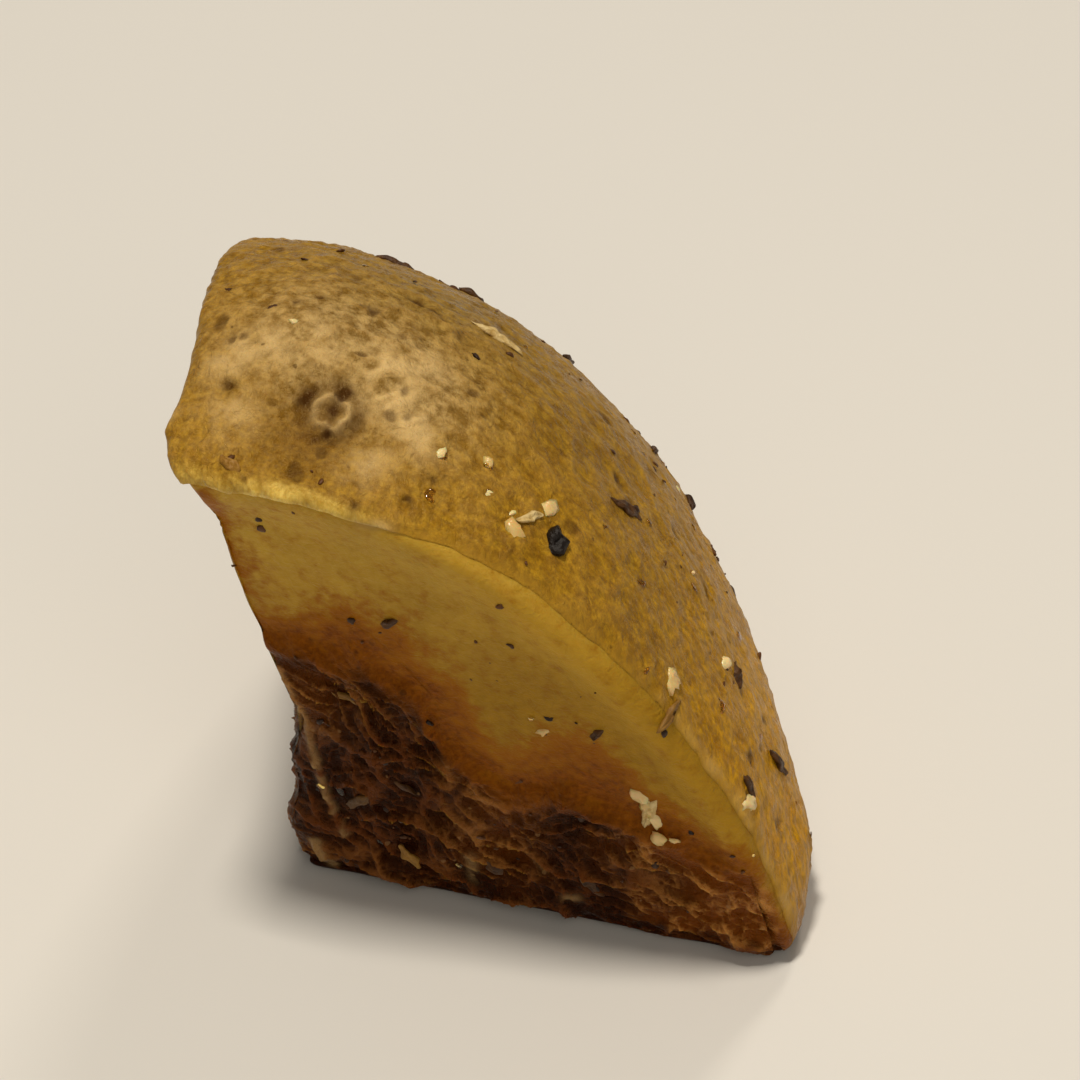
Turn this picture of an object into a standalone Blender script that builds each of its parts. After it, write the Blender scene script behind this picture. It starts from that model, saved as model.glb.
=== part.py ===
"""Baked potato chunk.

A whole potato is halved across and the half is quartered lengthwise. The piece stands on the crosswise
cut. Two flat cuts meet at its front left edge, skin wraps round the right and the back, and the end of
the potato, with its scar, is on top. Roasting has shrunk the flesh behind its rim, curled the edge of
the skin up and turned the foot of the front cut into a craggy dark crust. Dried herbs stick all over it.

Units are metres and +Z is up. The chunk is shaped with the origin at its front left bottom corner, with
+X along the foot of the front cut, and is moved at the end so that the origin is at the middle of the
bottom of its box.
"""

import math
import random

import bmesh
import bpy
import numpy as np
from mathutils import Matrix, Vector
from mathutils.bvhtree import BVHTree

MM = 0.001

# The whole potato, an ellipsoid that stands on end
POTATO_HALF_LENGTH = 49.9 * MM
POTATO_HALF_WIDTH = 33.1 * MM
POTATO_HALF_DEPTH = 28.5 * MM
POTATO_TURN = math.radians(56.1)
POTATO_LEAN = math.radians(2.9)
POTATO_CENTRE = Vector((-0.6, 3.1, -9.4)) * MM
POTATO_DETAIL = 6

# The three cuts: outward normals of planes through the origin
FRONT_CUT = Vector((0.0, -1.0, -0.24)).normalized()
LEFT_CUT = Vector((-1.0, -0.17, -0.11)).normalized()
BOTTOM_CUT = Vector((0.0, 0.0, -1.0))
CUTTER_SIZE = 140 * MM

# The even mesh before it is shaped: cells along the longest side, and rounding of its edges
CELL_DEPTH = 5
CELL_SCALE = 0.99
SMOOTHING_PASSES = 1
UNDERSIDE_TRIM = 0.45 * MM
FLAT_ANGLE = math.radians(0.6)

# Relief, in millimetres because it is worked out on arrays in millimetres
LUMP_HEIGHT = 0.32
FLESH_SAG = 0.75
FLESH_RIM = 2.6
LIP_HEIGHT = 0.45
LIP_WIDTH = 1.5
CRUST_HIGH = 22.0
CRUST_LOW = 5.0
CRUST_FADE = 4.0
CRUST_WIDTH = 29.0
CRAG_HEIGHT = 0.45
CUT_BLEND = 1.6
SKIN_BLEND = (0.94, 0.985)
FOOT_ROLL = 1.0
FOOT_ROLL_TOP = 3.0
WAIST_INSET = 1.7
WAIST_FOOT = (2.0, 12.0)
WAIST_HEAD = (35.0, 38.5)
WAIST_PINCH = 1.7
WAIST_PINCH_Z = 17.5
WAIST_PINCH_SPAN = 4.5
WAIST_REACH = 8.0
SCAR = (5.9, -3.5, 39.1)
SCAR_DEPTH = 1.0
SCAR_RADIUS = 3.3
TOP_DIP = (-3.0, 0.5, 39.0)
TOP_DIP_DEPTH = 1.2
TOP_DIP_RADIUS = 6.5
FLANK_LUMP = (30.4, 5.0, 5.6)
FLANK_LUMP_HEIGHT = 0.75
FLANK_LUMP_RADIUS = 3.0

# Dried herbs: the ones that show at the front, as (target point in millimetres, length, width, turn)
SHOWN_HERBS = (
    ((17.9, -3.1, 31.8), 2.0, 1.5, 10.0),
    ((11.0, 8.4, 36.1), 3.4, 0.9, 62.0),
    ((22.8, -3.0, 12.4), 3.6, 1.1, 64.0),
    ((16.4, -3.0, 33.0), 1.8, 0.8, 150.0),
    ((28.0, -0.8, 14.6), 2.2, 0.9, 80.0),
    ((20.4, -4.6, 19.2), 1.2, 0.8, 40.0),
    ((8.6, -6.2, 26.0), 1.3, 0.8, 20.0),
)
HERB_COUNT = 30
HERB_SEED = 11
HERB_LENGTHS = (1.3, 3.4)
HERB_WIDTHS = (0.7, 1.1)
HERB_THICKNESS = 0.9
HERB_SINK = 0.05
HERB_CLEAR_OF_FOOT = 3.0
HERB_SPACING = 3.2
LOWEST_RISE = -0.75
HEART = Vector((9.0, 10.0, 14.0)) * MM

# Finishes: colour and roughness, and where the skin and the crust of the cuts begin
SKIN_COLOUR = (0.26, 0.13, 0.018, 1.0)
SKIN_ROUGHNESS = 0.42
FLESH_COLOUR = (0.22, 0.115, 0.016, 1.0)
FLESH_ROUGHNESS = 0.55
CRUST_COLOUR = (0.035, 0.010, 0.002, 1.0)
CRUST_ROUGHNESS = 0.38
HERB_COLOUR = (0.075, 0.045, 0.010, 1.0)
HERB_ROUGHNESS = 0.7
SKIN_FROM_LEVEL = 0.965
CRUST_BEHIND_CUT = 2.0


# ---- scene helpers ---------------------------------------------------------------------------------

def clear_scene():
    """Remove every object of the scene."""
    for old in list(bpy.data.objects):
        bpy.data.objects.remove(old, do_unlink=True)


def new_collection(name):
    """A collection linked to the scene."""
    made = bpy.data.collections.new(name)
    bpy.context.scene.collection.children.link(made)
    return made


def material(name, colour, roughness):
    """A Principled material."""
    made = bpy.data.materials.new(name)
    made.use_nodes = True
    shader = made.node_tree.nodes["Principled BSDF"]
    shader.inputs["Base Color"].default_value = colour
    shader.inputs["Roughness"].default_value = roughness
    shader.inputs["Metallic"].default_value = 0.0
    made.diffuse_color = colour
    return made


def object_from_bmesh(name, shape, collection):
    """Turn a bmesh into an object of a collection."""
    mesh = bpy.data.meshes.new(name)
    shape.to_mesh(mesh)
    shape.free()
    made = bpy.data.objects.new(name, mesh)
    collection.objects.link(made)
    return made


def apply_modifiers(target):
    """Give an object the mesh that its modifiers make."""
    evaluated = target.evaluated_get(bpy.context.evaluated_depsgraph_get())
    mesh = bpy.data.meshes.new_from_object(evaluated)
    target.modifiers.clear()
    old = target.data
    target.data = mesh
    bpy.data.meshes.remove(old)


# ---- the potato and its cuts -----------------------------------------------------------------------

def potato_axes():
    """The ellipsoid's axes: across its width, across its depth and along its length."""
    wide = Vector((-math.sin(POTATO_TURN) * math.cos(POTATO_LEAN),
                   math.cos(POTATO_TURN) * math.cos(POTATO_LEAN),
                   math.sin(POTATO_LEAN)))
    deep = Vector((math.cos(POTATO_TURN), math.sin(POTATO_TURN), 0.0))
    return wide, deep, deep.cross(wide)


def potato_matrix():
    """The matrix that turns a unit sphere into the whole potato."""
    halves = (POTATO_HALF_WIDTH, POTATO_HALF_DEPTH, POTATO_HALF_LENGTH)
    columns = [axis * half for axis, half in zip(potato_axes(), halves)]
    return Matrix.Translation(POTATO_CENTRE) @ Matrix(columns).transposed().to_4x4()


def whole_potato(name, collection):
    """The ellipsoid before it is cut."""
    shape = bmesh.new()
    bmesh.ops.create_icosphere(shape, subdivisions=POTATO_DETAIL, radius=1.0, matrix=potato_matrix())
    bmesh.ops.recalc_face_normals(shape, faces=shape.faces)
    return object_from_bmesh(name, shape, collection)


def half_space(name, normal, offset, collection):
    """A big block that fills the side of a plane that its normal points to."""
    turn = normal.to_track_quat("Z", "Y").to_matrix().to_4x4()
    lift = Matrix.Translation(normal * (offset + CUTTER_SIZE / 2))
    shape = bmesh.new()
    bmesh.ops.create_cube(shape, size=CUTTER_SIZE, matrix=lift @ turn)
    block = object_from_bmesh(name, shape, collection)
    block.hide_render = True
    block.display_type = "WIRE"
    return block


def cut(target, block):
    """Cut a block away from the target."""
    boolean = target.modifiers.new(block.name, "BOOLEAN")
    boolean.operation = "DIFFERENCE"
    boolean.solver = "EXACT"
    boolean.object = block


def make_even(target):
    """Give the cut potato an even skin of small faces, with its edges slightly rounded."""
    remesh = target.modifiers.new("even faces", "REMESH")
    remesh.mode = "SHARP"
    remesh.octree_depth = CELL_DEPTH
    remesh.scale = CELL_SCALE
    remesh.use_remove_disconnected = True
    smooth = target.modifiers.new("soft edges", "SMOOTH")
    smooth.factor = 0.5
    smooth.iterations = SMOOTHING_PASSES


# ---- relief, worked out on whole arrays of points in millimetres -----------------------------------

def smoothstep(low, high, value):
    """Rise smoothly from 0 at low to 1 at high."""
    t = np.clip((value - low) / (high - low), 0.0, 1.0)
    return t * t * (3.0 - 2.0 * t)


def ripple(points, wavelength, directions):
    """A sum of sine waves along several directions, about -1 to 1."""
    total = np.zeros(len(points))
    for index, direction in enumerate(directions):
        total += np.sin(points @ np.array(direction) * (2.0 * math.pi / wavelength) + 1.7 * index)
    return total / len(directions)


def depth_behind(points, normal):
    """How far each point lies behind a cut, in millimetres."""
    return -(points @ np.array(normal))


def skin_level_and_normal(points):
    """The ellipsoid's level, 1 on the skin and less inside, and its outward direction."""
    to_unit = np.linalg.inv(np.array(potato_matrix().to_3x3()) / MM)
    unit = (points - np.array(POTATO_CENTRE) / MM) @ to_unit.T
    level = np.linalg.norm(unit, axis=1)
    normal = unit @ to_unit
    return level, normal / np.linalg.norm(normal, axis=1)[:, None]


def waist_shift(points):
    """How far the front left edge and the top of the left cut are drawn in to the right."""
    height = points[:, 2]
    inset = WAIST_INSET * smoothstep(*WAIST_FOOT, height) * (1.0 - smoothstep(*WAIST_HEAD, height))
    inset += WAIST_PINCH * np.exp(-((height - WAIST_PINCH_Z) / WAIST_PINCH_SPAN) ** 2)
    away = depth_behind(points, FRONT_CUT) ** 2 + depth_behind(points, LEFT_CUT) ** 2
    inset *= np.exp(-away / WAIST_REACH ** 2)
    top_gap = np.linalg.norm(points - np.array(TOP_DIP), axis=1)
    return inset + TOP_DIP_DEPTH * np.exp(-(top_gap / TOP_DIP_RADIUS) ** 2)


def crust_top(points):
    """The height up to which the cuts are crusted: highest at the front left corner."""
    across = 1.0 - smoothstep(0.0, CRUST_WIDTH, points[:, 0])
    back = 1.0 - smoothstep(0.0, CRUST_WIDTH / 2, points[:, 1])
    return CRUST_LOW + (CRUST_HIGH - CRUST_LOW) * across * back


def foot_roll(points):
    """How far the foot of the chunk is rolled in under it."""
    return FOOT_ROLL * (1.0 - smoothstep(0.0, FOOT_ROLL_TOP, points[:, 2])) ** 2


def skin_relief(points, level, edge_gap):
    """How far the skin stands out: lumps, a lip along the cuts, a low bulge and the scar's hollow."""
    lumps = ripple(points, 21.0, ((1.0, 0.3, 0.2), (-0.4, 0.9, 0.5), (0.2, -0.6, 0.9)))
    lumps += 0.5 * ripple(points, 9.0, ((0.8, 0.1, 0.7), (0.3, 0.9, -0.5), (-0.7, 0.6, 0.4)))
    scar_gap = np.linalg.norm(points - np.array(SCAR), axis=1)
    out = LUMP_HEIGHT * lumps
    out += LIP_HEIGHT * np.exp(-(edge_gap / LIP_WIDTH) ** 2)
    out -= SCAR_DEPTH * np.exp(-(scar_gap / SCAR_RADIUS) ** 2)
    flank_gap = np.linalg.norm(points - np.array(FLANK_LUMP), axis=1)
    out += FLANK_LUMP_HEIGHT * np.exp(-(flank_gap / FLANK_LUMP_RADIUS) ** 2)
    return (out - foot_roll(points)) * smoothstep(*SKIN_BLEND, level)


def cut_relief(points, level):
    """How far a cut face stands out: it sags behind its rim, and its foot is a craggy, rolled crust."""
    rim_gap = (1.0 - level) * POTATO_HALF_DEPTH / MM
    crust = 1.0 - smoothstep(-CRUST_FADE, 0.0, points[:, 2] - crust_top(points))
    crags = ripple(points, 5.2, ((1.0, 0.2, 0.1), (0.5, 0.1, 0.9), (-0.6, 0.4, 0.8), (0.1, 0.9, 0.4)))
    out = -FLESH_SAG * smoothstep(0.5, FLESH_RIM, rim_gap) * (1.0 - crust)
    out += CRAG_HEIGHT * crags * crust
    return out - foot_roll(points)


def shape_surface(target):
    """Move the vertices of the cut potato by the relief of the face that they lie on."""
    mesh = target.data
    flat = np.empty(len(mesh.vertices) * 3)
    mesh.vertices.foreach_get("co", flat)
    points = flat.reshape(-1, 3) / MM
    level, skin_normal = skin_level_and_normal(points)
    front_gap = depth_behind(points, FRONT_CUT)
    left_gap = depth_behind(points, LEFT_CUT)
    skin_out = skin_relief(points, level, np.minimum(front_gap, left_gap))
    cut_out = cut_relief(points, level)
    moved = points + skin_normal * skin_out[:, None]
    for gap, normal in ((front_gap, FRONT_CUT), (left_gap, LEFT_CUT)):
        on_face = 1.0 - smoothstep(0.1 * CUT_BLEND, CUT_BLEND, gap)
        moved += np.array(normal) * (cut_out * on_face)[:, None]
    moved[:, 0] += waist_shift(points)
    mesh.vertices.foreach_set("co", (moved * MM).ravel())
    mesh.update()


def dissolve_flat(target):
    """Join the faces of the flat underside."""
    shape = bmesh.new()
    shape.from_mesh(target.data)
    flat = [face for face in shape.faces if face.normal.dot(BOTTOM_CUT) > 0.999]
    edges = {edge for face in flat for edge in face.edges}
    bmesh.ops.dissolve_limit(shape, angle_limit=FLAT_ANGLE, verts=[], edges=list(edges),
                             use_dissolve_boundaries=False)
    bmesh.ops.triangulate(shape, faces=shape.faces)
    shape.to_mesh(target.data)
    shape.free()


# ---- dried herbs ------------------------------------------------------------------------------------

def herb(name, place, normal, length, width, turn, finish, collection):
    """A flake of dried herb, lying on the surface at a place."""
    lie = normal.to_track_quat("Z", "Y").to_matrix().to_4x4()
    size = Matrix.Diagonal((length / 2, width / 2, HERB_THICKNESS / 2 * MM, 1.0))
    spot = Matrix.Translation(place - normal * HERB_SINK * MM)
    shape = bmesh.new()
    bmesh.ops.create_icosphere(shape, subdivisions=1, radius=1.0,
                               matrix=spot @ lie @ Matrix.Rotation(turn, 4, "Z") @ size)
    bmesh.ops.recalc_face_normals(shape, faces=shape.faces)
    flake = object_from_bmesh(name, shape, collection)
    flake.data.materials.append(finish)


def scatter_herbs(target, collection):
    """Lay the herbs that show, then seeded ones all round, no two close together."""
    finish = material("dried herb", HERB_COLOUR, HERB_ROUGHNESS)
    shape = bmesh.new()
    shape.from_mesh(target.data)
    surface = BVHTree.FromBMesh(shape)
    taken = []
    for index, (point, length, width, turn) in enumerate(SHOWN_HERBS):
        place, normal, _, _ = surface.find_nearest(Vector(point) * MM)
        herb(f"herb_{index}", place, normal, length * MM, width * MM, math.radians(turn), finish, collection)
        taken.append(place)
    rng = random.Random(HERB_SEED)
    while len(taken) < len(SHOWN_HERBS) + HERB_COUNT:
        rise = rng.uniform(LOWEST_RISE, 1.0)
        around = rng.uniform(-math.pi, math.pi)
        length = rng.uniform(*HERB_LENGTHS) * MM
        width = rng.uniform(*HERB_WIDTHS) * MM
        turn = rng.uniform(0.0, math.pi)
        flat = math.sqrt(1.0 - rise * rise)
        ray = Vector((flat * math.cos(around), flat * math.sin(around), rise))
        place, normal, _, _ = surface.ray_cast(HEART, ray)
        if place.z < HERB_CLEAR_OF_FOOT * MM:
            continue
        if min((place - other).length for other in taken) < HERB_SPACING * MM:
            continue
        herb(f"herb_{len(taken)}", place, normal, length, width, turn, finish, collection)
        taken.append(place)
    shape.free()


def fuse_herbs(target, collection):
    """Join all the herbs to the chunk in one union, then remove them."""
    union = target.modifiers.new("herbs", "BOOLEAN")
    union.operation = "UNION"
    union.solver = "EXACT"
    union.operand_type = "COLLECTION"
    union.collection = collection
    union.material_mode = "TRANSFER"
    apply_modifiers(target)
    for flake in list(collection.objects):
        bpy.data.objects.remove(flake, do_unlink=True)
    bpy.data.collections.remove(collection)


# ---- finish -----------------------------------------------------------------------------------------

def paint(target):
    """Skin, flesh and crust materials by where each face lies."""
    for name, colour, roughness in (("potato skin", SKIN_COLOUR, SKIN_ROUGHNESS),
                                    ("roast flesh", FLESH_COLOUR, FLESH_ROUGHNESS),
                                    ("dark crust", CRUST_COLOUR, CRUST_ROUGHNESS)):
        target.data.materials.append(material(name, colour, roughness))
    faces = target.data.polygons
    centres = np.array([face.center for face in faces]) / MM
    level, _ = skin_level_and_normal(centres)
    cut_gap = np.minimum(depth_behind(centres, FRONT_CUT), depth_behind(centres, LEFT_CUT))
    crusted = (cut_gap < CRUST_BEHIND_CUT) & (centres[:, 2] < crust_top(centres))
    crusted |= centres[:, 2] < UNDERSIDE_TRIM / MM + CRUST_BEHIND_CUT / 10
    index = np.where(crusted, 2, np.where(level > SKIN_FROM_LEVEL, 0, 1)).astype(np.int32)
    faces.foreach_set("material_index", index)
    target.data.shade_smooth()


def centre_on_base(target):
    """Put the origin at the middle of the bottom of the chunk's box."""
    corners = [vertex.co for vertex in target.data.vertices]
    low = Vector(min(corner[axis] for corner in corners) for axis in range(3))
    high = Vector(max(corner[axis] for corner in corners) for axis in range(3))
    middle = (low + high) / 2
    target.data.transform(Matrix.Translation((-middle.x, -middle.y, -low.z)))


def main():
    """Build the chunk."""
    clear_scene()
    model = new_collection("baked potato chunk")
    cutters = new_collection("cutters")
    herbs = new_collection("herbs")

    chunk = whole_potato("potato_chunk", model)
    for name, normal in (("front cut", FRONT_CUT), ("left cut", LEFT_CUT), ("bottom cut", BOTTOM_CUT)):
        cut(chunk, half_space(name, normal, 0.0, cutters))
    make_even(chunk)
    apply_modifiers(chunk)
    shape_surface(chunk)
    cut(chunk, half_space("underside trim", BOTTOM_CUT, -UNDERSIDE_TRIM, cutters))
    apply_modifiers(chunk)
    dissolve_flat(chunk)
    paint(chunk)
    scatter_herbs(chunk, herbs)
    fuse_herbs(chunk, herbs)
    centre_on_base(chunk)


main()
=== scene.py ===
# %% [markdown]
# # A chunk of roasted potato
#
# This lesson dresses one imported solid: an end piece of a potato that was halved across, quartered
# lengthwise and roasted in oil and dried herbs. Three things make it look real. Its flesh, its crust and
# its skin are surfaces of their own, because the skin is a thin sheet that curls over one cut and draws
# back from the other. Its foot is a crust, which is relief first and colour second. And nothing on it is
# even, so every form below is a formula plus smooth random numbers.
#
# All the surfaces are worked out as whole numpy arrays, in millimetres, and are turned into metres only
# when they become meshes.

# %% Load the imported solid
import itertools
import math
import random

import bpy
import numpy as np
from mathutils import Matrix, Quaternion, Vector


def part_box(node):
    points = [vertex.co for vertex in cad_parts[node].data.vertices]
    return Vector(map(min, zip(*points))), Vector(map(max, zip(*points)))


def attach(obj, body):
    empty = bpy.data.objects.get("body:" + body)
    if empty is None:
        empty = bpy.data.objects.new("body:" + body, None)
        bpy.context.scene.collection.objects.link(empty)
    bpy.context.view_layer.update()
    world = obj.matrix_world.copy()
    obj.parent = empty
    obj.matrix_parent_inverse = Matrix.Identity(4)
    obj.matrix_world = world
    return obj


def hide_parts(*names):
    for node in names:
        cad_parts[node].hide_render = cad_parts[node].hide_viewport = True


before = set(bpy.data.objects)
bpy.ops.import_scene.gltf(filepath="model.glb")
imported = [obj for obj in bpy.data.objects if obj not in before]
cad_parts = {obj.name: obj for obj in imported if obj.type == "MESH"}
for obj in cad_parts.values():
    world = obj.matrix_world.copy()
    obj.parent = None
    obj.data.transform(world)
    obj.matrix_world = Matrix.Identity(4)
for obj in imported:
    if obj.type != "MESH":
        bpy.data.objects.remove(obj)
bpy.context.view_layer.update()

MM = 0.001
NODE = "potato_chunk"

# %% [markdown]
# ## Where the shape's own origin is
#
# The potato is easiest to describe from the front left bottom corner of the chunk, where its three cuts
# meet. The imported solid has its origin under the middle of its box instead. How far the solid reaches
# past its corner to the left and to the front is known from the way it was cut, and its underside was
# trimmed a little above the corner, so the frame's box says where the corner lies.

# %% From the corner to the frame
REACH_LEFT = 6.83
REACH_FRONT = 9.07
UNDERSIDE_TRIM = 0.45

box_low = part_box(NODE)[0]
corner = np.array((box_low.x / MM + REACH_LEFT, box_low.y / MM + REACH_FRONT, -UNDERSIDE_TRIM))


def to_frame(points):
    """Millimetres from the chunk's corner become metres in the frame: add the corner, times 0.001."""
    return (points + corner) * MM


print("corner of the cuts in mm:", corner.round(2))

# %% [markdown]
# ## Smooth steps and smooth random numbers
#
# A few helpers shape everything here. A smooth step rises from 0 to 1 without a kink, which is how one
# form gives way to another. Noise gives each point of space a random value that changes smoothly: random
# numbers sit on a lattice of cubes, and each point blends the eight corners of its own cube. Folding the
# noise about its middle value makes sharp ridges, which is what wrinkles look like, and setting round
# domes into some of the lattice's cubes gives blisters and freckles.

# %% Helpers for arrays of points
LATTICE = 32
LAYER_SHIFT = 7.3
DRIFT_SHIFTS = (2.0, 41.0, 83.0)
DOME_MARGIN, DOME_ROAM = 0.2, 0.6
DOME_RADIUS, DOME_RADIUS_SPAN = 0.26, 0.3
lattice_values = np.random.default_rng(5).random((LATTICE, LATTICE, LATTICE))
lattice_places = np.random.default_rng(6).random((LATTICE, LATTICE, LATTICE, 3))


def smoothstep(low, high, value):
    """3t^2 - 2t^3, where t runs from 0 at low to 1 at high, whichever of the two is larger."""
    t = np.clip((value - low) / (high - low), 0.0, 1.0)
    return t * t * (3.0 - 2.0 * t)


def noise(points, size):
    """Lattice noise, 0 to 1: each cube of that size blends its corners' random values by smooth steps."""
    place = points / size
    cell = np.floor(place).astype(int)
    t = smoothstep(0.0, 1.0, place - cell)
    total = np.zeros(len(points))
    for offset in itertools.product((0, 1), repeat=3):
        share = np.where(offset, t, 1.0 - t).prod(axis=1)
        total += share * lattice_values[tuple(((cell + offset) % LATTICE).T)]
    return total


def layered(points, size, layers):
    """Noise plus half as much noise at half the size, and so on, brought back to 0 to 1."""
    total = sum(noise(points + LAYER_SHIFT * n, size / 2 ** n) / 2 ** n for n in range(layers))
    return total / (2.0 - 0.5 ** (layers - 1))


def ridges(points, size):
    """Sharp ridges, 1 on the crest: one minus twice the distance of the noise from its middle."""
    return 1.0 - 2.0 * np.abs(noise(points, size) - 0.5)


def drift(points, size):
    """A smooth random shift of each point, -0.5 to 0.5 along each axis: noise read in three places."""
    return np.stack([noise(points + shift, size) for shift in DRIFT_SHIFTS], axis=1) - 0.5


def domes(points, size, share):
    """Round domes, 1 on top: in a share of the cubes, one minus squared distance over squared radius."""
    place = points / size
    cell = np.floor(place).astype(int)
    highest = np.zeros(len(points))
    for offset in itertools.product((-1, 0, 1), repeat=3):
        index = tuple(((cell + offset) % LATTICE).T)
        away = place - cell - offset - DOME_MARGIN - DOME_ROAM * lattice_places[index]
        radius = DOME_RADIUS + DOME_RADIUS_SPAN * lattice_values[index] / share
        dome = np.where(lattice_values[index] < share, 1.0 - (away ** 2).sum(axis=1) / radius ** 2, 0.0)
        highest = np.maximum(highest, dome)
    return highest


def unit(vectors):
    """Vectors divided by their own lengths."""
    return vectors / np.linalg.norm(vectors, axis=-1, keepdims=True)


def bell(distance, width):
    """A bell curve, 1 at no distance: e to the minus square of distance over width."""
    return np.exp(-(distance / width) ** 2)


def near_point(points, middle, width):
    """A bell of the distance to one point."""
    return bell(np.linalg.norm(points - middle, axis=1), width)


def near_line(points, start, end, width):
    """A bell of the distance to the straight piece between two points."""
    start, along = np.array(start), np.array(end) - np.array(start)
    share = np.clip((points - start) @ along / (along @ along), 0.0, 1.0)
    return bell(np.linalg.norm(points - start - share[:, None] * along, axis=1), width)


def near_lines(points, lines, width):
    """The sum of the bells of several straight pieces."""
    return sum(near_line(points, *line, width) for line in lines)


print("noise over 1000 points:", noise(np.arange(3000.0).reshape(-1, 3) * 0.37, 2.0).std().round(3))

# %% [markdown]
# ## The whole potato and its three cuts
#
# The potato is an ellipsoid that stands nearly on end, turned about the vertical. A ray from a point
# inside it meets the skin where a quadratic equation says, and meets each cut where a plane says. The
# chunk is what lies inside all four, so along any ray from its heart the nearest of the four is its
# surface. Taking a soft minimum instead of the sharp one rounds the edges, as roasting does, and the
# same sum says how much of each face there is at a point, which later mixes their relief and colours.

# %% Potato and cuts
HALF_WIDTH, HALF_DEPTH, HALF_LENGTH = 33.1, 28.5, 49.9
TURN, LEAN = math.radians(56.1), math.radians(2.9)
CENTRE = np.array((-0.6, 3.1, -9.4))
UP = np.array((0.0, 0.0, 1.0))
HEART = np.array((9.0, 10.0, 14.0))
EDGE_SOFT = 0.42
RIM_SOFT = 0.75
RIM_RIGHT, RIM_FRONT, RIM_RISE = (0.25, 0.75), (0.25, -0.35), (-0.62, -0.3)
FRONT_LEAN, LEFT_TURN, LEFT_LEAN = 0.24, 0.17, 0.11


def unit_of(x, y, z):
    """The direction of one vector."""
    return unit(np.array((x, y, z)))


FRONT = unit_of(0.0, -1.0, -FRONT_LEAN)
LEFT = unit_of(-1.0, -LEFT_TURN, -LEFT_LEAN)
wide = np.array((-math.sin(TURN) * math.cos(LEAN), math.cos(TURN) * math.cos(LEAN), math.sin(LEAN)))
deep = np.array((math.cos(TURN), math.sin(TURN), 0.0))
long = np.cross(deep, wide)
to_unit = np.stack((wide / HALF_WIDTH, deep / HALF_DEPTH, long / HALF_LENGTH))


def skin_level(points):
    """The ellipsoid's level, 1 on the skin: the length of the point in axes that make it a unit sphere."""
    return np.linalg.norm((points - CENTRE) @ to_unit.T, axis=1)


def under_skin(points):
    """About how deep a point lies under the skin: what its level lacks to 1, times the half depth."""
    return (1.0 - skin_level(points)) * HALF_DEPTH


def skin_normal(points):
    """The ellipsoid's outward direction: the gradient of its level."""
    return unit((points - CENTRE) @ to_unit.T @ to_unit)


def skin_reach(start, directions):
    """How far a ray runs to the skin: the positive root of |start + t direction| = 1 in unit axes."""
    e = (start - CENTRE) @ to_unit.T
    f = directions @ to_unit.T
    a, b, c = (f * f).sum(1), f @ e, e @ e - 1.0
    return (np.sqrt(b * b - a * c) - b) / a


def plane_reach(start, directions, normal, offset):
    """How far a ray runs to a plane, or a long way where it runs from it."""
    toward = directions @ normal
    return np.where(toward > 1e-6, (offset - start @ normal) / np.maximum(toward, 1e-6), 1e3)


def depth_behind(points, normal):
    """How far points lie behind a cut through the corner."""
    return -(points @ normal)


def from_edge(points):
    """The distance from the edge between the two cuts: the hypotenuse of the depths behind them."""
    return np.hypot(depth_behind(points, FRONT), depth_behind(points, LEFT))


def soft_edges(directions):
    """The soft minimum's reach: wider where the front cut meets the skin on the right."""
    right = smoothstep(*RIM_RIGHT, directions[:, 0]) * smoothstep(*RIM_FRONT, directions[:, 1])
    return EDGE_SOFT + RIM_SOFT * right * smoothstep(*RIM_RISE, directions[:, 2])


print("a ray to the right meets skin after", skin_reach(HEART, np.eye(3))[0].round(2), "mm")

# %% [markdown]
# ## Relief that the solid has too
#
# These forms show from a step away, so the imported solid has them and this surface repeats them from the
# same sizes: soft lumps in the skin, one more low on the flank, a hollow beside the scar at the potato's
# end, cut faces that sag behind their rim, a foot that rolls in, a waist where the front left edge has
# shrunk, and a dip at the top left.

# %% The solid's relief
LUMP_HEIGHT = 0.32
FLESH_SAG, FLESH_RIM = 0.75, 2.6
FOOT_ROLL, FOOT_ROLL_TOP = 1.0, 3.0
WAIST_INSET, WAIST_PINCH, WAIST_PINCH_Z, WAIST_PINCH_SPAN, WAIST_REACH = 1.7, 1.7, 17.5, 4.5, 8.0
WAIST_FOOT, WAIST_HEAD = (2.0, 12.0), (35.0, 38.5)
CRAG_HEIGHT = 0.45
RIPPLE_SHIFT = 1.7
HOLLOW = np.array((5.0, -4.9, 38.7))
HOLLOW_DEPTH, HOLLOW_RADIUS = 1.0, 3.3
LEFT_DIP, LEFT_DIP_PLACE, LEFT_DIP_RADIUS = 1.2, np.array((-3.0, 0.5, 39.0)), 6.5
FLANK_LUMP, FLANK_PLACE, FLANK_RADIUS = 0.75, np.array((30.4, 5.0, 5.6)), 3.0


def ripple(points, size, directions):
    """A mean of sine waves of one wavelength along several directions."""
    turn = 2.0 * math.pi / size
    waves = [np.sin(points @ np.array(way) * turn + RIPPLE_SHIFT * n) for n, way in enumerate(directions)]
    return sum(waves) / len(waves)


def foot_roll(points):
    """How far the foot is rolled in: a squared smooth step of the height."""
    return FOOT_ROLL * (1.0 - smoothstep(0.0, FOOT_ROLL_TOP, points[:, 2])) ** 2


def waist_shift(points):
    """How far the front left edge is drawn in: by height, fading as a bell away from the edge."""
    height = points[:, 2]
    inset = WAIST_INSET * smoothstep(*WAIST_FOOT, height) * (1.0 - smoothstep(*WAIST_HEAD, height))
    inset += WAIST_PINCH * bell(height - WAIST_PINCH_Z, WAIST_PINCH_SPAN)
    return inset * bell(from_edge(points), WAIST_REACH)


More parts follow.
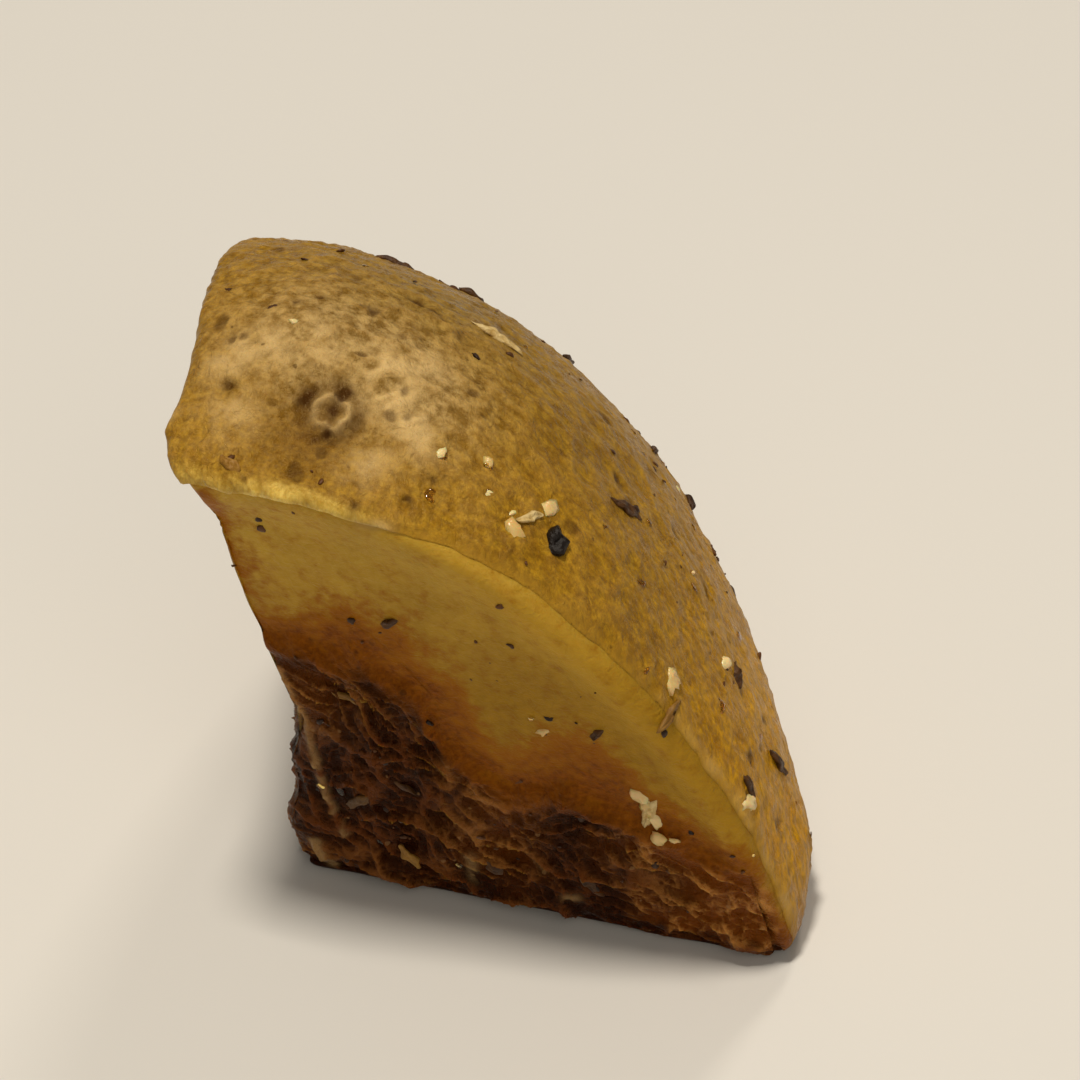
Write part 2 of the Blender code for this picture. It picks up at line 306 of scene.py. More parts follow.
def skin_lumps(points):
    """Two sizes of ripple and a lump low on the flank, less a bell-shaped hollow beside the scar."""
    lumps = ripple(points, 21.0, ((1.0, 0.3, 0.2), (-0.4, 0.9, 0.5), (0.2, -0.6, 0.9)))
    lumps += 0.5 * ripple(points, 9.0, ((0.8, 0.1, 0.7), (0.3, 0.9, -0.5), (-0.7, 0.6, 0.4)))
    lumps = LUMP_HEIGHT * lumps + FLANK_LUMP * near_point(points, FLANK_PLACE, FLANK_RADIUS)
    return lumps - HOLLOW_DEPTH * near_point(points, HOLLOW, HOLLOW_RADIUS)


print("waist at half height:", waist_shift(np.array([[0.0, -3.6, 15.0]])).round(2), "mm")

# %% [markdown]
# ## Where the flesh is browned
#
# The foot of the front cut lay on the hot tray. A line across the face says how high its crust climbs:
# high on the left, then down a step to a low band on the right. Above that line the flesh fades through
# brown and yellow to pale. The fade is short on the left and long in the middle. The left cut, which
# leans away, has the same crust round its corner and a low band behind it. Edges brown before faces do,
# so the edge between the two cuts is toasted all the way up.

# %% Crust and browning
# the crust line's height and the length of the fade above it, both by x, and the left cut's line by y
CRUST_X = (0.0, 6.0, 9.3, 10.6, 12.4, 14.4, 16.3, 18.0, 20.0, 21.4, 23.0, 24.8, 28.0, 31.0)
CRUST_Z = (22.2, 23.0, 20.2, 16.6, 13.0, 11.6, 12.0, 13.6, 12.8, 13.0, 11.2, 10.0, 9.4, 8.0)
FADE_X = (0.0, 5.0, 9.3, 11.0, 12.3, 13.4, 15.0, 17.0, 20.0, 22.5, 25.0, 29.0)
FADE_Z = (4.8, 5.5, 9.5, 14.0, 16.5, 9.0, 8.0, 10.0, 10.5, 6.0, 4.0, 3.2)
LEFT_Y = (-6.0, 2.0, 6.0, 12.0, 30.0)
LEFT_Z = (21.2, 17.0, 9.0, 5.5, 4.0)
LEFT_FADE = 7.0
# how ragged the line, the fade and the patches are, and then from where to where each mark rises
LINE_ROUGH, LINE_ROUGH_SIZE = 4.4, 4.2
FADE_ROUGH, FADE_ROUGH_SIZE = 1.6, 2.2
PATCHY, PATCH_SIZE = 0.5, 5.0
CRUST_STEP, DEEP_STEP, SHEET_STEP, BROWN_STEP = (0.8, -1.0), (0.6, -3.0), (3.4, 2.0), (1.0, -0.15)
UNDER_STEP, UNDER_DEEP = (0.3, 0.6), 0.7
BROWN_SKIN_Z, BROWN_SKIN_STEP = 1.4, (4.0, 0.0)
TOASTED_EDGE, TOAST_STEP, TOAST_SIZE = ((0.30, 1.2), (0.22, 3.4)), (0.25, 0.6), 3.0


def over_cuts(shares, bounds, value):
    """A smooth step of each cut's own value, times its share, added up."""
    return (shares[1:3] * smoothstep(*bounds, value)).sum(axis=0)


def browning(points, shares):
    """Crust, how deep in it, its sheet and browning, 0 to 1: smooth steps of the height over its line."""
    x, y, z = points.T
    rough = LINE_ROUGH * (layered(points, LINE_ROUGH_SIZE, 5) - 0.5)
    over = z + rough - np.stack((np.interp(x, CRUST_X, CRUST_Z), np.interp(y, LEFT_Y, LEFT_Z)))
    ragged = x + FADE_ROUGH * (layered(points + 30.0, FADE_ROUGH_SIZE, 3) - 0.5)
    fade = np.stack((np.interp(ragged, FADE_X, FADE_Z), np.full_like(y, LEFT_FADE)))
    patches = PATCHY * (layered(points + 50.0, PATCH_SIZE, 3) - 0.5)
    under = shares[3]
    crust = over_cuts(shares, CRUST_STEP, over) + under * smoothstep(*UNDER_STEP, patches + 0.5)
    deep = over_cuts(shares, DEEP_STEP, over) + UNDER_DEEP * under
    sheet = over_cuts(shares, SHEET_STEP, over) + under
    brown = over_cuts(shares, BROWN_STEP, over / fade + patches) + under
    brown += shares[0] * smoothstep(*BROWN_SKIN_STEP, z - BROWN_SKIN_Z + rough)
    toast = sum(share * bell(from_edge(points), width) for share, width in TOASTED_EDGE)
    brown += toast * (1.0 - shares[0]) * smoothstep(*TOAST_STEP, layered(points, TOAST_SIZE, 2))
    return [np.clip(mark, 0.0, 1.0) for mark in (crust, deep, sheet, brown)]


print("crust line across the face:", list(zip(CRUST_X, CRUST_Z)))

# %% [markdown]
# ## The crust's own relief
#
# Fried crust is a skin of its own: it wrinkles into folds that run slantwise down the face, and it
# blisters. The folds are ridged noise on space that is first squeezed along the way the folds run, which
# draws them out, and then bent. The same numbers say where the crests are, and the colour paints the
# crests lighter, as painted highlight, and the pits darker, as painted shade. A few raised seams and pale
# scraps lie where the photograph shows them, and the seam down the front left edge is painted pale as a
# highlight along that edge too.

# %% Folds and blisters
FOLD_WAY = unit_of(0.72, 0.0, -0.70)
FOLD_SQUEEZE, FOLD_BEND = 0.5, 1.8
FOLD_HEIGHT, CRISP_HEIGHT, BLISTER_HEIGHT, SEAM_HEIGHT = 0.44, 0.18, 0.20, 0.25
FOLD_CREST, CRISP_CREST, BLISTER_CREST, SEAM_CREST = 0.55, 0.42, 0.30, 0.7
CRAG_DROP, HIGHEST_CREST = 0.40, 1.3
EDGE_CALM, EDGE_CALM_REACH = 0.55, 1.8
SEAM_WIDTH, STREAK_WIDTH, DASH_WIDTH, ARC_WIDTH = 0.26, 0.34, 0.30, 0.36
EDGE_SEAM = (((-1.1, -4.9, 20.5), (-0.9, -4.1, 17.0)), ((-0.9, -4.1, 17.0), (0.8, -3.1, 12.7)),
             ((0.8, -3.1, 12.7), (1.6, -2.2, 9.3)), ((1.6, -2.2, 9.3), (3.2, -1.3, 5.6)))
LOOSE_STREAK = ((1.3, -1.0, 4.1), (1.9, -0.2, 0.9))
RAISED_ARC = ((11.8, -2.9, 12.0), (14.0, -2.7, 11.1)), ((14.0, -2.7, 11.1), (16.3, -2.9, 12.1))
PALE_SCRAPS = (((11.4, -1.4, 6.0), (11.3, -0.8, 3.2)), ((15.6, -1.5, 6.1), (15.8, -1.4, 5.9)),
               ((17.2, -0.9, 3.6), (17.6, -0.9, 3.5)))
RIM_DASH = ((8.5, -8.4, 35.2), (11.0, -8.5, 35.6))


def pale_streaks(points):
    """Seams and scraps paler than what is round them: bells of the distance to short lines, broken up."""
    # the seam down the front left edge is raised and also painted pale as a highlight along that edge, and
    # the rim dash is a painted highlight
    streaks = 0.7 * near_lines(points, EDGE_SEAM, SEAM_WIDTH)
    streaks += 2.0 * near_line(points, *LOOSE_STREAK, STREAK_WIDTH)
    streaks += near_line(points, *RIM_DASH, DASH_WIDTH)
    streaks += 0.7 * near_lines(points, PALE_SCRAPS, ARC_WIDTH)
    return np.clip(streaks, 0.0, 1.0) * smoothstep(0.2, 0.5, layered(points, 0.9, 2))


def crags(points):
    """Height and crests: the solid's ripple, ridges at four sizes, domes, and a few raised lines."""
    coarse = ripple(points, 5.2, ((1.0, 0.2, 0.1), (0.5, 0.1, 0.9), (-0.6, 0.4, 0.8), (0.1, 0.9, 0.4)))
    squeezed = points - FOLD_SQUEEZE * (points @ FOLD_WAY)[:, None] * FOLD_WAY
    bent = squeezed + FOLD_BEND * drift(points, 3.0)
    folds = ridges(bent, 2.1) ** 6 + 0.7 * ridges(bent + 5.0, 1.1) ** 6
    crisp = ridges(bent + 9.0, 0.6) ** 4 + 0.5 * ridges(points + 4.0, 0.36) ** 3
    blisters = domes(points + 0.5 * drift(points, 1.0), 1.3, 0.35)
    seams = near_lines(points, (*EDGE_SEAM, LOOSE_STREAK), SEAM_WIDTH)
    seams += 0.8 * near_lines(points, RAISED_ARC, ARC_WIDTH)
    calm = 1.0 - EDGE_CALM * bell(from_edge(points), EDGE_CALM_REACH)
    relief = FOLD_HEIGHT * folds + CRISP_HEIGHT * crisp + BLISTER_HEIGHT * blisters
    height = CRAG_HEIGHT * coarse + calm * relief
    height += SEAM_HEIGHT * seams - CRAG_DROP
    crest = FOLD_CREST * folds + CRISP_CREST * crisp + BLISTER_CREST * blisters * noise(points, 4.0)
    return height, np.clip(crest + SEAM_CREST * seams, 0.0, HIGHEST_CREST)


print("height and crest at one point of the crust:", crags(np.array([[10.0, -1.5, 6.0]])))

# %% [markdown]
# ## One function for the chunk's surface
#
# The flesh, the crust and the skin all follow this function of direction. It gives the point, the way
# out, the share of each face and the browning. The way out is a mean of the four faces' normals by their
# shares, so relief bends round the edges instead of tearing there.

# %% The chunk's surface
WAVE_HEIGHT, WAVE_SIZE = 0.22, 4.5
FOOT_DENTS, FOOT_DENT_SIZE = 0.12, 3.0
CRUST_EDGE_RELIEF = 0.3


def chunk_surface(directions):
    """Heart plus direction times the soft minimum of the four reaches, moved out by each face's relief."""
    reaches = np.stack((skin_reach(HEART, directions),
                        plane_reach(HEART, directions, FRONT, 0.0),
                        plane_reach(HEART, directions, LEFT, 0.0),
                        plane_reach(HEART, directions, -UP, -UNDERSIDE_TRIM)))
    nearest, soft = reaches.min(axis=0), soft_edges(directions)
    near = np.exp(-(reaches - nearest) / soft)
    shares = near / near.sum(axis=0)
    points = HEART + directions * (nearest - soft * np.log(near.sum(axis=0)))[:, None]
    faces = (skin_normal(points), FRONT, LEFT, -UP)
    out = unit(sum(share[:, None] * face for share, face in zip(shares, faces)))
    crust, deep, sheet, brown = browning(points, shares)
    crag, crest = crags(points)
    sag = -FLESH_SAG * smoothstep(0.5, FLESH_RIM, under_skin(points)) * (1.0 - crust)
    waves = WAVE_HEIGHT * (layered(points, WAVE_SIZE, 4) - 0.5) * (1.0 - crust)
    rising = CRUST_EDGE_RELIEF + (1.0 - CRUST_EDGE_RELIEF) * deep
    cut = sag + waves + crust * rising * crag - foot_roll(points)
    height = shares[0] * (skin_lumps(points) - foot_roll(points)) + (shares[1] + shares[2]) * cut
    height -= FOOT_DENTS * shares[3] * layered(points, FOOT_DENT_SIZE, 2)
    moved = points + out * height[:, None]
    moved[:, 0] += waist_shift(points) + LEFT_DIP * near_point(points, LEFT_DIP_PLACE, LEFT_DIP_RADIUS)
    moved[:, 2] = np.maximum(moved[:, 2], UNDERSIDE_TRIM)
    marks = dict(crust=crust, deep=deep, sheet=sheet, brown=brown, crest=crest)
    return moved, out, shares, dict(marks, streak=pale_streaks(points))


probe = chunk_surface(unit(np.array([[0.0, 0.0, 1.0], [1.0, 0.0, 0.0], [0.0, -1.0, 0.0]])))
print("top, right and front of the heart:", probe[0].round(1).tolist())

# %% [markdown]
# ## From arrays to a mesh
#
# A sphere of directions with poles would crowd its faces there. A cube whose six sides are grids, blown
# up to a sphere, has nearly even faces everywhere. The grids share their border points, and rounding
# the directions finds the equal ones, so the seams are closed before the mesh exists.

# %% Grids and meshes
def grid_quads(rows, columns):
    """The corner numbers of each cell of a grid of points, anticlockwise."""
    first = (np.arange(rows - 1)[:, None] * columns + np.arange(columns - 1)).reshape(-1, 1)
    return first + np.array((0, 1, columns + 1, columns))


def cube_sphere(cells):
    """Directions on six square grids: the tangent of even angles, with shared border points joined."""
    across, up = np.meshgrid(*[np.tan(np.linspace(-math.pi / 4, math.pi / 4, cells + 1))] * 2)
    sides = []
    for axis, sign in itertools.product(range(3), (-1.0, 1.0)):
        side = np.empty((cells + 1, cells + 1, 3))
        side[..., axis] = sign
        side[..., (axis + 1) % 3] = across * sign
        side[..., (axis + 2) % 3] = up
        sides.append(side)
    directions = unit(np.concatenate([side.reshape(-1, 3) for side in sides]))
    quads = grid_quads(cells + 1, cells + 1)
    quads = np.concatenate([quads + n * (cells + 1) ** 2 for n in range(6)])
    joined, where = np.unique(directions.round(7), axis=0, return_inverse=True)
    return unit(joined), where.reshape(-1)[quads]


def new_piece(name, points, faces, **attributes):
    """A smooth mesh object at the origin, with a float attribute of its points for each extra array."""
    mesh = bpy.data.meshes.new(name)
    mesh.from_pydata(to_frame(points), [], faces if isinstance(faces, list) else faces.tolist())
    for key, values in attributes.items():
        mesh.attributes.new(key, "FLOAT", "POINT").data.foreach_set("value", values.astype(np.float32))
    mesh.shade_smooth()
    piece = bpy.data.objects.new(name, mesh)
    bpy.context.scene.collection.objects.link(piece)
    print(name, "has", len(mesh.vertices), "points and", len(mesh.polygons), "faces")
    return piece


# %% [markdown]
# ## The flesh
#
# The flesh is one closed surface. It carries its browning, its crust and the pale strip beside the skin,
# a painted highlight where the rounded edge catches light from above, as attributes of its points, so
# that the finish can follow the very shape that they made. Under the crust and the skin it lies about
# half a millimetre deeper, because they are pieces of their own.

# %% Flesh
FLESH_CELLS = 128
UNDER_CRUST, UNDER_SKIN, SKIN_EDGE = 0.4, 0.5, (2.2, 3.6)
RIM_DEPTH, RIM_WIDTH, RIM_FROM = 0.5, 1.5, (11.0, 19.0)
CHAR_LEAST, CHAR_STEP, CHAR_SIZE = 0.55, (0.30, 0.62), 5.5
SCRAPED, SCRAPED_FROM, SCRAPED_ROUGH = 0.9, (18.5, 26.0), 5.0
CHARRED_FOOT, CHARRED_FOOT_ROUGH = (3.0, 1.2), 1.6
LOWER_FLESH = (33.0, 19.0)


def flesh_marks(points, shares, marks):
    """Attributes of flesh and crust: the rim beside the skin, and char, less at the right, full below."""
    kept = {key: marks[key] for key in ("deep", "brown", "crest", "streak")}
    # the rim beside the skin is painted lighter as a highlight, where the rounded edge catches light from
    # above
    rim = bell(under_skin(points) - RIM_DEPTH, RIM_WIDTH) * smoothstep(*RIM_FROM, points[:, 0])
    char = CHAR_LEAST + (1.0 - CHAR_LEAST) * smoothstep(*CHAR_STEP, layered(points + 20.0, CHAR_SIZE, 3))
    right = points[:, 0] + SCRAPED_ROUGH * (noise(points, 2.4) - 0.5)
    char *= 1.0 - SCRAPED * smoothstep(*SCRAPED_FROM, right)
    height = points[:, 2] + CHARRED_FOOT_ROUGH * (noise(points + 11.0, 1.3) - 0.5)
    char = np.maximum(char, smoothstep(*CHARRED_FOOT, height))
    lower = smoothstep(*LOWER_FLESH, points[:, 2])
    return dict(kept, rim=rim * (shares[1] + shares[2]), char=char, lower=lower)


directions, quads = cube_sphere(FLESH_CELLS)
points, out, shares, marks = chunk_surface(directions)
behind_cuts = np.minimum(depth_behind(points, FRONT), depth_behind(points, LEFT))
sunk = UNDER_CRUST * marks["deep"] + UNDER_SKIN * shares[0] * smoothstep(*SKIN_EDGE, behind_cuts)
points -= out * sunk[:, None]
points[:, 2] = np.maximum(points[:, 2], UNDERSIDE_TRIM)
flesh = new_piece("potato_flesh", points, quads, **flesh_marks(points, shares, marks))

# %% [markdown]
# ## The crust
#
# The crust needs finer relief than the flesh. It is a sheet over the foot of both cuts: one parameter
# runs along the foot, from the right end of the front cut round the corner and along the left cut, and
# the other climbs from under the foot to well past the crust line. Up there the sheet lies flat on the
# flesh and has its colours, and at its very edge it dives into the flesh, so the edge never shows. Both
# halves start from the edge between the cuts, which leans to the left by a share of the height.

# %% Crust sheet
CRUST_COLUMNS, CRUST_ROWS = 470, 196
CRUST_RIGHT, CRUST_BACK = 29.6, 30.5
CRUST_UNDER, CRUST_MARGIN = -1.6, 5.4
CRUST_ABOVE, CRUST_DIVE = 0.03, 0.35
EDGE_LEAN = 0.069

along = np.linspace(-CRUST_RIGHT, CRUST_BACK, CRUST_COLUMNS)[None, :]
climb = np.linspace(0.0, 1.0, CRUST_ROWS)[:, None]
front_line, left_line = np.interp(-along, CRUST_X, CRUST_Z), np.interp(along, LEFT_Y, LEFT_Z)
top = np.where(along < 0.0, front_line, left_line) + CRUST_MARGIN
z = CRUST_UNDER + (1.0 - climb) * (top - CRUST_UNDER)
on_front = np.stack((-along - EDGE_LEAN * z, -FRONT_LEAN * z, z), axis=-1)
on_left = np.stack((-LEFT_TURN * along - EDGE_LEAN * z, along - FRONT_LEAN * z, z), axis=-1)
targets = np.where((along < 0.0)[..., None], on_front, on_left).reshape(-1, 3)
points, out, shares, marks = chunk_surface(unit(targets - HEART))
lift = CRUST_ABOVE - CRUST_DIVE * (1.0 - marks["sheet"])
points += out * lift[:, None]
points[:, 2] = np.maximum(points[:, 2], UNDERSIDE_TRIM)
crust = new_piece("potato_crust", points, grid_quads(CRUST_ROWS, CRUST_COLUMNS)[:, ::-1],
                  **flesh_marks(points, shares, marks))

# %% [markdown]
# ## The skin
#
# The skin could be a colour on the flesh, but on a cut chunk its edge is the most telling line: it
# curls over the cut in one place and has drawn back from it in another. So it is a sheet of its own.
# Rays from the corner of the cuts sweep from the front cut round to the left one and from the foot up
# to the top of the edge between them, which covers the skin exactly. Past the two cuts the sheet goes
# on down the face for as far as it overlaps, and where the overlap is negative it stops short. Its last
# column on either side folds down into the flesh, which shows the sheet's thickness. The rows crowd
# toward the top, where the scar is.

# %% Skin sheet
SKIN_ROWS, SKIN_COLUMNS = 372, 256
SKIN_ABOVE, SKIN_FOLD = 0.20, 0.5
LOWEST_SHARE, HIGHEST_SHARE, ROW_CROWDING = 0.012, 0.9995, 1.25
CURLED_OVER, DRAWN_BACK, DRAWN_BACK_FROM = 0.35, 1.05, (8.0, 16.0)
FRAY, FRAY_SIZE = 0.6, 1.9
LEFT_OVERLAP, LEFT_WANDER, LEFT_WANDER_SIZE = 0.35, 1.6, 6.0
ARC_STEPS, LEAST_ARC, ARC_WITH_ROOM = 24, 0.3, (0.5, 6.0)

edge_line = unit(np.cross(FRONT, LEFT))
edge_line = edge_line * np.sign(edge_line[2])
sweep_to = math.atan2(1.0, LEFT[1] / -LEFT[0])


def slerp(low, high, share):
    """Turns evenly from one direction to another: sines of the two parts of the angle over its sine."""
    angle = np.arccos((low * high).sum(axis=-1, keepdims=True))
    return (np.sin((1.0 - share) * angle) * low + np.sin(share * angle) * high) / np.sin(angle)


def on_skin(turn_share, height_share):
    """Rays from the corner, turned from the front cut to the left one and raised to the edge line."""
    turn_share, height_share = np.broadcast_arrays(turn_share, height_share)
    turn = turn_share * sweep_to
    flat = np.stack((np.cos(turn), np.sin(turn), np.zeros_like(turn)), axis=-1)
    rays = slerp(flat, edge_line, height_share[..., None])
    reach = skin_reach(np.zeros(3), rays.reshape(-1, 3)).reshape(turn.shape)
    return rays * reach[..., None]


def inward(edge, normal):
    """The way down a cut face from its edge: square to the edge and to the face's normal."""
    way = unit(np.cross(np.gradient(edge, axis=0), normal))
    return way * np.sign(((HEART - edge) * way).sum(axis=-1, keepdims=True))


row = np.linspace(0.0, 1.0, SKIN_ROWS)[:, None]
column = np.concatenate(([0.0], np.linspace(0.0, 1.0, SKIN_COLUMNS - 2), [1.0]))[None, :]
folded = np.zeros((SKIN_ROWS, SKIN_COLUMNS))
folded[:, (0, -1)] = 1.0
height_share = LOWEST_SHARE + (1.0 - LOWEST_SHARE) * (1.0 - (1.0 - row) ** ROW_CROWDING)
height_share[-1] = HIGHEST_SHARE
across = on_skin(np.linspace(0.0, 1.0, ARC_STEPS)[None], height_share)
arc = np.linalg.norm(np.diff(across, axis=1), axis=-1).sum(1)
arc = np.maximum(arc, LEAST_ARC)[:, None]
front_edge, left_edge = on_skin(0.0, height_share)[:, 0], on_skin(1.0, height_share)[:, 0]
fray = FRAY * (layered(front_edge, FRAY_SIZE, 3) - 0.5)[:, None]
wander = LEFT_WANDER * (layered(left_edge, LEFT_WANDER_SIZE, 3) - 0.5)[:, None]
room = smoothstep(*ARC_WITH_ROOM, arc)
drawing_back = smoothstep(*DRAWN_BACK_FROM, front_edge[:, :1])
over_front = (CURLED_OVER - (CURLED_OVER + DRAWN_BACK) * drawing_back + fray) * room
over_left = (LEFT_OVERLAP + wander) * room
past = -over_front + (arc + over_front + over_left) * column
targets = on_skin(np.clip(past / arc, 0.0, 1.0), height_share)
targets = targets + np.maximum(-past, 0.0)[..., None] * inward(front_edge, FRONT)[:, None, :]
targets = targets + np.maximum(past - arc, 0.0)[..., None] * inward(left_edge, LEFT)[:, None, :]
targets = targets.reshape(-1, 3)
from_front = (past + over_front).reshape(-1)
from_left = (arc + over_left - past).reshape(-1)
print("the skin is", arc.max().round(1), "mm wide at most")

# %% [markdown]
# ## Creases, freckles and the scar
#
# Potato skin is papery. Its creases run along the potato, so the noise is squeezed that way. The scar,
# where the stem sat, is a small uneven ring with a pit beside its middle, and the skin round it is pulled
# into short strokes. The ring, the strokes and a few patches near the scar are painted pale as highlights,
# and the moat round the ring is painted dark as shade. The breathing pores are freckles that sit in
# shallow dents.

# %% Skin relief
# places on the skin: the scar and what lies in it, its strokes, patches of painted highlight and freckles
SCAR = np.array((5.6, -3.6, 39.1))
SCAR_RING, SCAR_WIDTH = 0.92, 0.28
SCAR_PIT, SCAR_SPOT, SCAR_SMEAR = (5.9, -2.6, 39.3), (5.9, -4.8, 38.6), (3.7, -3.2, 39.5)
STROKES = (((6.7, -0.6, 39.6), (7.5, 0.3, 39.2)), ((7.6, -1.8, 38.9), (8.6, -0.9, 38.6)),
           ((8.4, -2.0, 38.6), (9.3, -1.0, 38.3)), ((9.5, -2.8, 38.0), (10.3, -1.9, 37.8)))
PALE_PATCHES = (((0.5, -0.9, 40.2), 1.5), ((2.7, 0.3, 40.3), 1.3), ((3.9, -0.2, 40.1), 1.2),
                ((-1.5, -2.2, 39.7), 1.3), ((8.1, -1.2, 38.8), 1.4), ((7.2, 0.4, 39.3), 1.2),
                ((9.0, 1.6, 38.6), 1.6), ((10.3, -3.0, 37.6), 1.5), ((8.2, -5.8, 37.5), 1.3),
                ((0.2, -5.6, 38.8), 1.4), ((-3.3, -5.6, 37.9), 0.6), ((-2.9, -7.6, 36.9), 0.6))
PORE_SIZE, PORE_SHARE, PORE_STEP = 1.35, 0.13, (0.3, 0.8)
FRECKLE_WIDTH, FRECKLE_MORE = 0.26, 0.06
FRECKLES = ((0.7, 2.6, 40.5), (2.1, 3.6, 40.3), (5.2, 4.0, 39.8), (-0.7, -3.7, 39.3), (0.5, 12.9, 37.2),
            (7.8, 6.8, 38.3), (6.7, 7.2, 38.6), (9.7, 5.9, 37.7), (11.9, -4.8, 36.2), (10.9, -6.6, 35.9),
            (8.2, -8.0, 36.3), (19.1, 5.4, 29.9), (26.0, 3.8, 18.3), (27.2, 4.8, 14.5),
            (27.5, 0.7, 15.1), (24.9, -4.8, 21.0))
# heights and depths, the scar's widths, and for each size of crease its share, shift, size and power
RING_HEIGHT, MOAT_DEPTH, STROKE_HEIGHT, PIT_DEPTH, SPOT_DEPTH = 0.34, 0.22, 0.16, 0.5, 0.25
MOAT_RADIUS, MOAT_WIDTH, STROKE_WIDTH, PIT_WIDTH, SPOT_WIDTH = 1.65, 0.5, 0.24, 0.42, 0.45
CREASE_SQUEEZE, CREASE_BEND = 0.55, 1.5
CREASES_BY_SIZE = ((0.5, 0.0, 1.9, 3), (0.36, 3.0, 0.9, 3), (0.25, 6.0, 0.5, 2))
CREASE_HEIGHT, UNEVEN_HEIGHT, FRECKLE_DEPTH, SKIN_DROP = 0.26, 0.30, 0.09, 0.12


def scar_relief(points):
    """A ring, a pit and a moat by distance from the scar, and strokes beside it: height and marks."""
    away = points - SCAR
    out = skin_normal(SCAR[None])[0]
    side = unit(np.cross(out, UP))
    angle = np.arctan2(away @ np.cross(out, side), away @ side)
    far = np.linalg.norm(away, axis=1)
    circle = np.stack((1.6 * np.cos(angle), 1.6 * np.sin(angle), np.full_like(far, 60.0)), axis=1)
    radius = SCAR_RING * (0.8 + 0.4 * noise(circle, 1.0))
    ring = bell(far - radius, SCAR_WIDTH) * (0.2 + 1.3 * noise(circle + 9.0, 0.7))
    strokes = near_lines(points + 0.7 * drift(points, 1.2), STROKES, STROKE_WIDTH)
    moat = bell(far - MOAT_RADIUS, MOAT_WIDTH) * (0.3 + noise(circle + 20.0, 0.9))
    height = RING_HEIGHT * ring - MOAT_DEPTH * moat + STROKE_HEIGHT * strokes
    pit, spot = near_point(points, SCAR_PIT, PIT_WIDTH), near_point(points, SCAR_SPOT, SPOT_WIDTH)
    height -= PIT_DEPTH * pit + SPOT_DEPTH * spot
    return height, ring, moat, strokes


def skin_relief(points):
    """Creases at three sizes on bent, squeezed space, less a dent at each freckle: height and marks."""
    squeezed = points - CREASE_SQUEEZE * (points @ long)[:, None] * long
    bent = squeezed + CREASE_BEND * drift(points, 3.1)
    creases = sum(share * ridges(bent + shift, size) ** power
                  for share, shift, size, power in CREASES_BY_SIZE)
    pores = smoothstep(*PORE_STEP, domes(points + 0.6 * drift(points, 1.0), PORE_SIZE, PORE_SHARE))
    ragged = points + 0.7 * drift(points, 0.7)
    shown = sum(near_point(ragged, place, FRECKLE_WIDTH + FRECKLE_MORE * (n % 4))
                for n, place in enumerate(FRECKLES))
    freckles = np.clip(0.7 * pores + 1.3 * shown * (0.5 + noise(points, 0.35)), 0.0, 1.0)
    scar, ring, moat, strokes = scar_relief(points)
    height = CREASE_HEIGHT * creases + UNEVEN_HEIGHT * (layered(points, 4.0, 4) - 0.5)
    height = height - FRECKLE_DEPTH * freckles - SKIN_DROP + scar
    return height, creases, freckles, ring, moat, strokes


print("skin relief at the scar:", skin_relief(SCAR[None])[0].round(2), "mm")

# %% [markdown]
# ## The skin's thickness and its marks
#
# The sheet stands a little above the flesh and thins toward its edges, so that it seems to grow out of
# them. The left part of its front edge does the opposite: it has swelled into a lip, and at the left end
# it flares out past the left cut, unevenly, because it is a bell times noise. All that has a colour of
# its own, such as the lip, the scar and the worn rims, gets an attribute, which the finish reads, and so
# does the painted light: highlights on the lip, the scar, the creases and the patches near it, sheen
# near the scar and at the top back, and shade in the hollow and in the moat.

# %% Skin
# flares are places with a width and a reach, and the tan, grey and hollow places have a width each;
# at the tan and grey places sheen is painted, and at the hollow place shade
LIP_BULGE, LIP_MIDDLE, LIP_WIDTH = 0.42, 0.6, 0.7
LIP_PART, LIP_BREAKS = (4.0, 12.0), (0.05, 0.6)
THIN_EDGE, THIN_EDGE_WIDTH = 0.85, 0.6
FLARES = (((-2.9, -7.2, 37.0), 2.0, 0.75), ((-4.6, 1.2, 39.5), 3.2, 0.35))
TAN_PLACES = (((2.5, 0.5, 40.3), 6.0), ((9.0, 0.0, 38.0), 4.5))
GREY_PLACE, HOLLOW_PLACE = ((8.0, 9.0, 37.0), 9.0), ((4.6, -5.6, 38.4), 2.6)
SKIN_CLEARANCE = 0.02


def near_places(points, places):
    """The sum of the bells round several places, each of its own width."""
    return sum(near_point(points, place, width) for place, width in places)


points, out, shares, marks = chunk_surface(unit(targets - HEART))
relief, creases, freckles, ring, moat, strokes = skin_relief(targets)
left_of_face = 1.0 - smoothstep(*LIP_PART, points[:, 0])
lip_breaks = smoothstep(*LIP_BREAKS, layered(targets + 33.0, 2.6, 2))
lip = bell(from_front - LIP_MIDDLE, LIP_WIDTH) * left_of_face * lip_breaks
from_rim = np.minimum(from_front, from_left)
thin = 1.0 - THIN_EDGE * bell(from_rim, THIN_EDGE_WIDTH) * (1.0 - lip)
height = (SKIN_ABOVE + relief) * thin + LIP_BULGE * lip
height -= (height + SKIN_FOLD) * folded.reshape(-1)
points += out * height[:, None]
flare = sum(reach * near_point(targets, place, width) for place, width, reach in FLARES)
points[:, 0] -= flare * (1.0 - folded.reshape(-1)) * (0.55 + 0.9 * noise(targets, 0.7))
points[:, 2] = np.maximum(points[:, 2], UNDERSIDE_TRIM + SKIN_CLEARANCE)
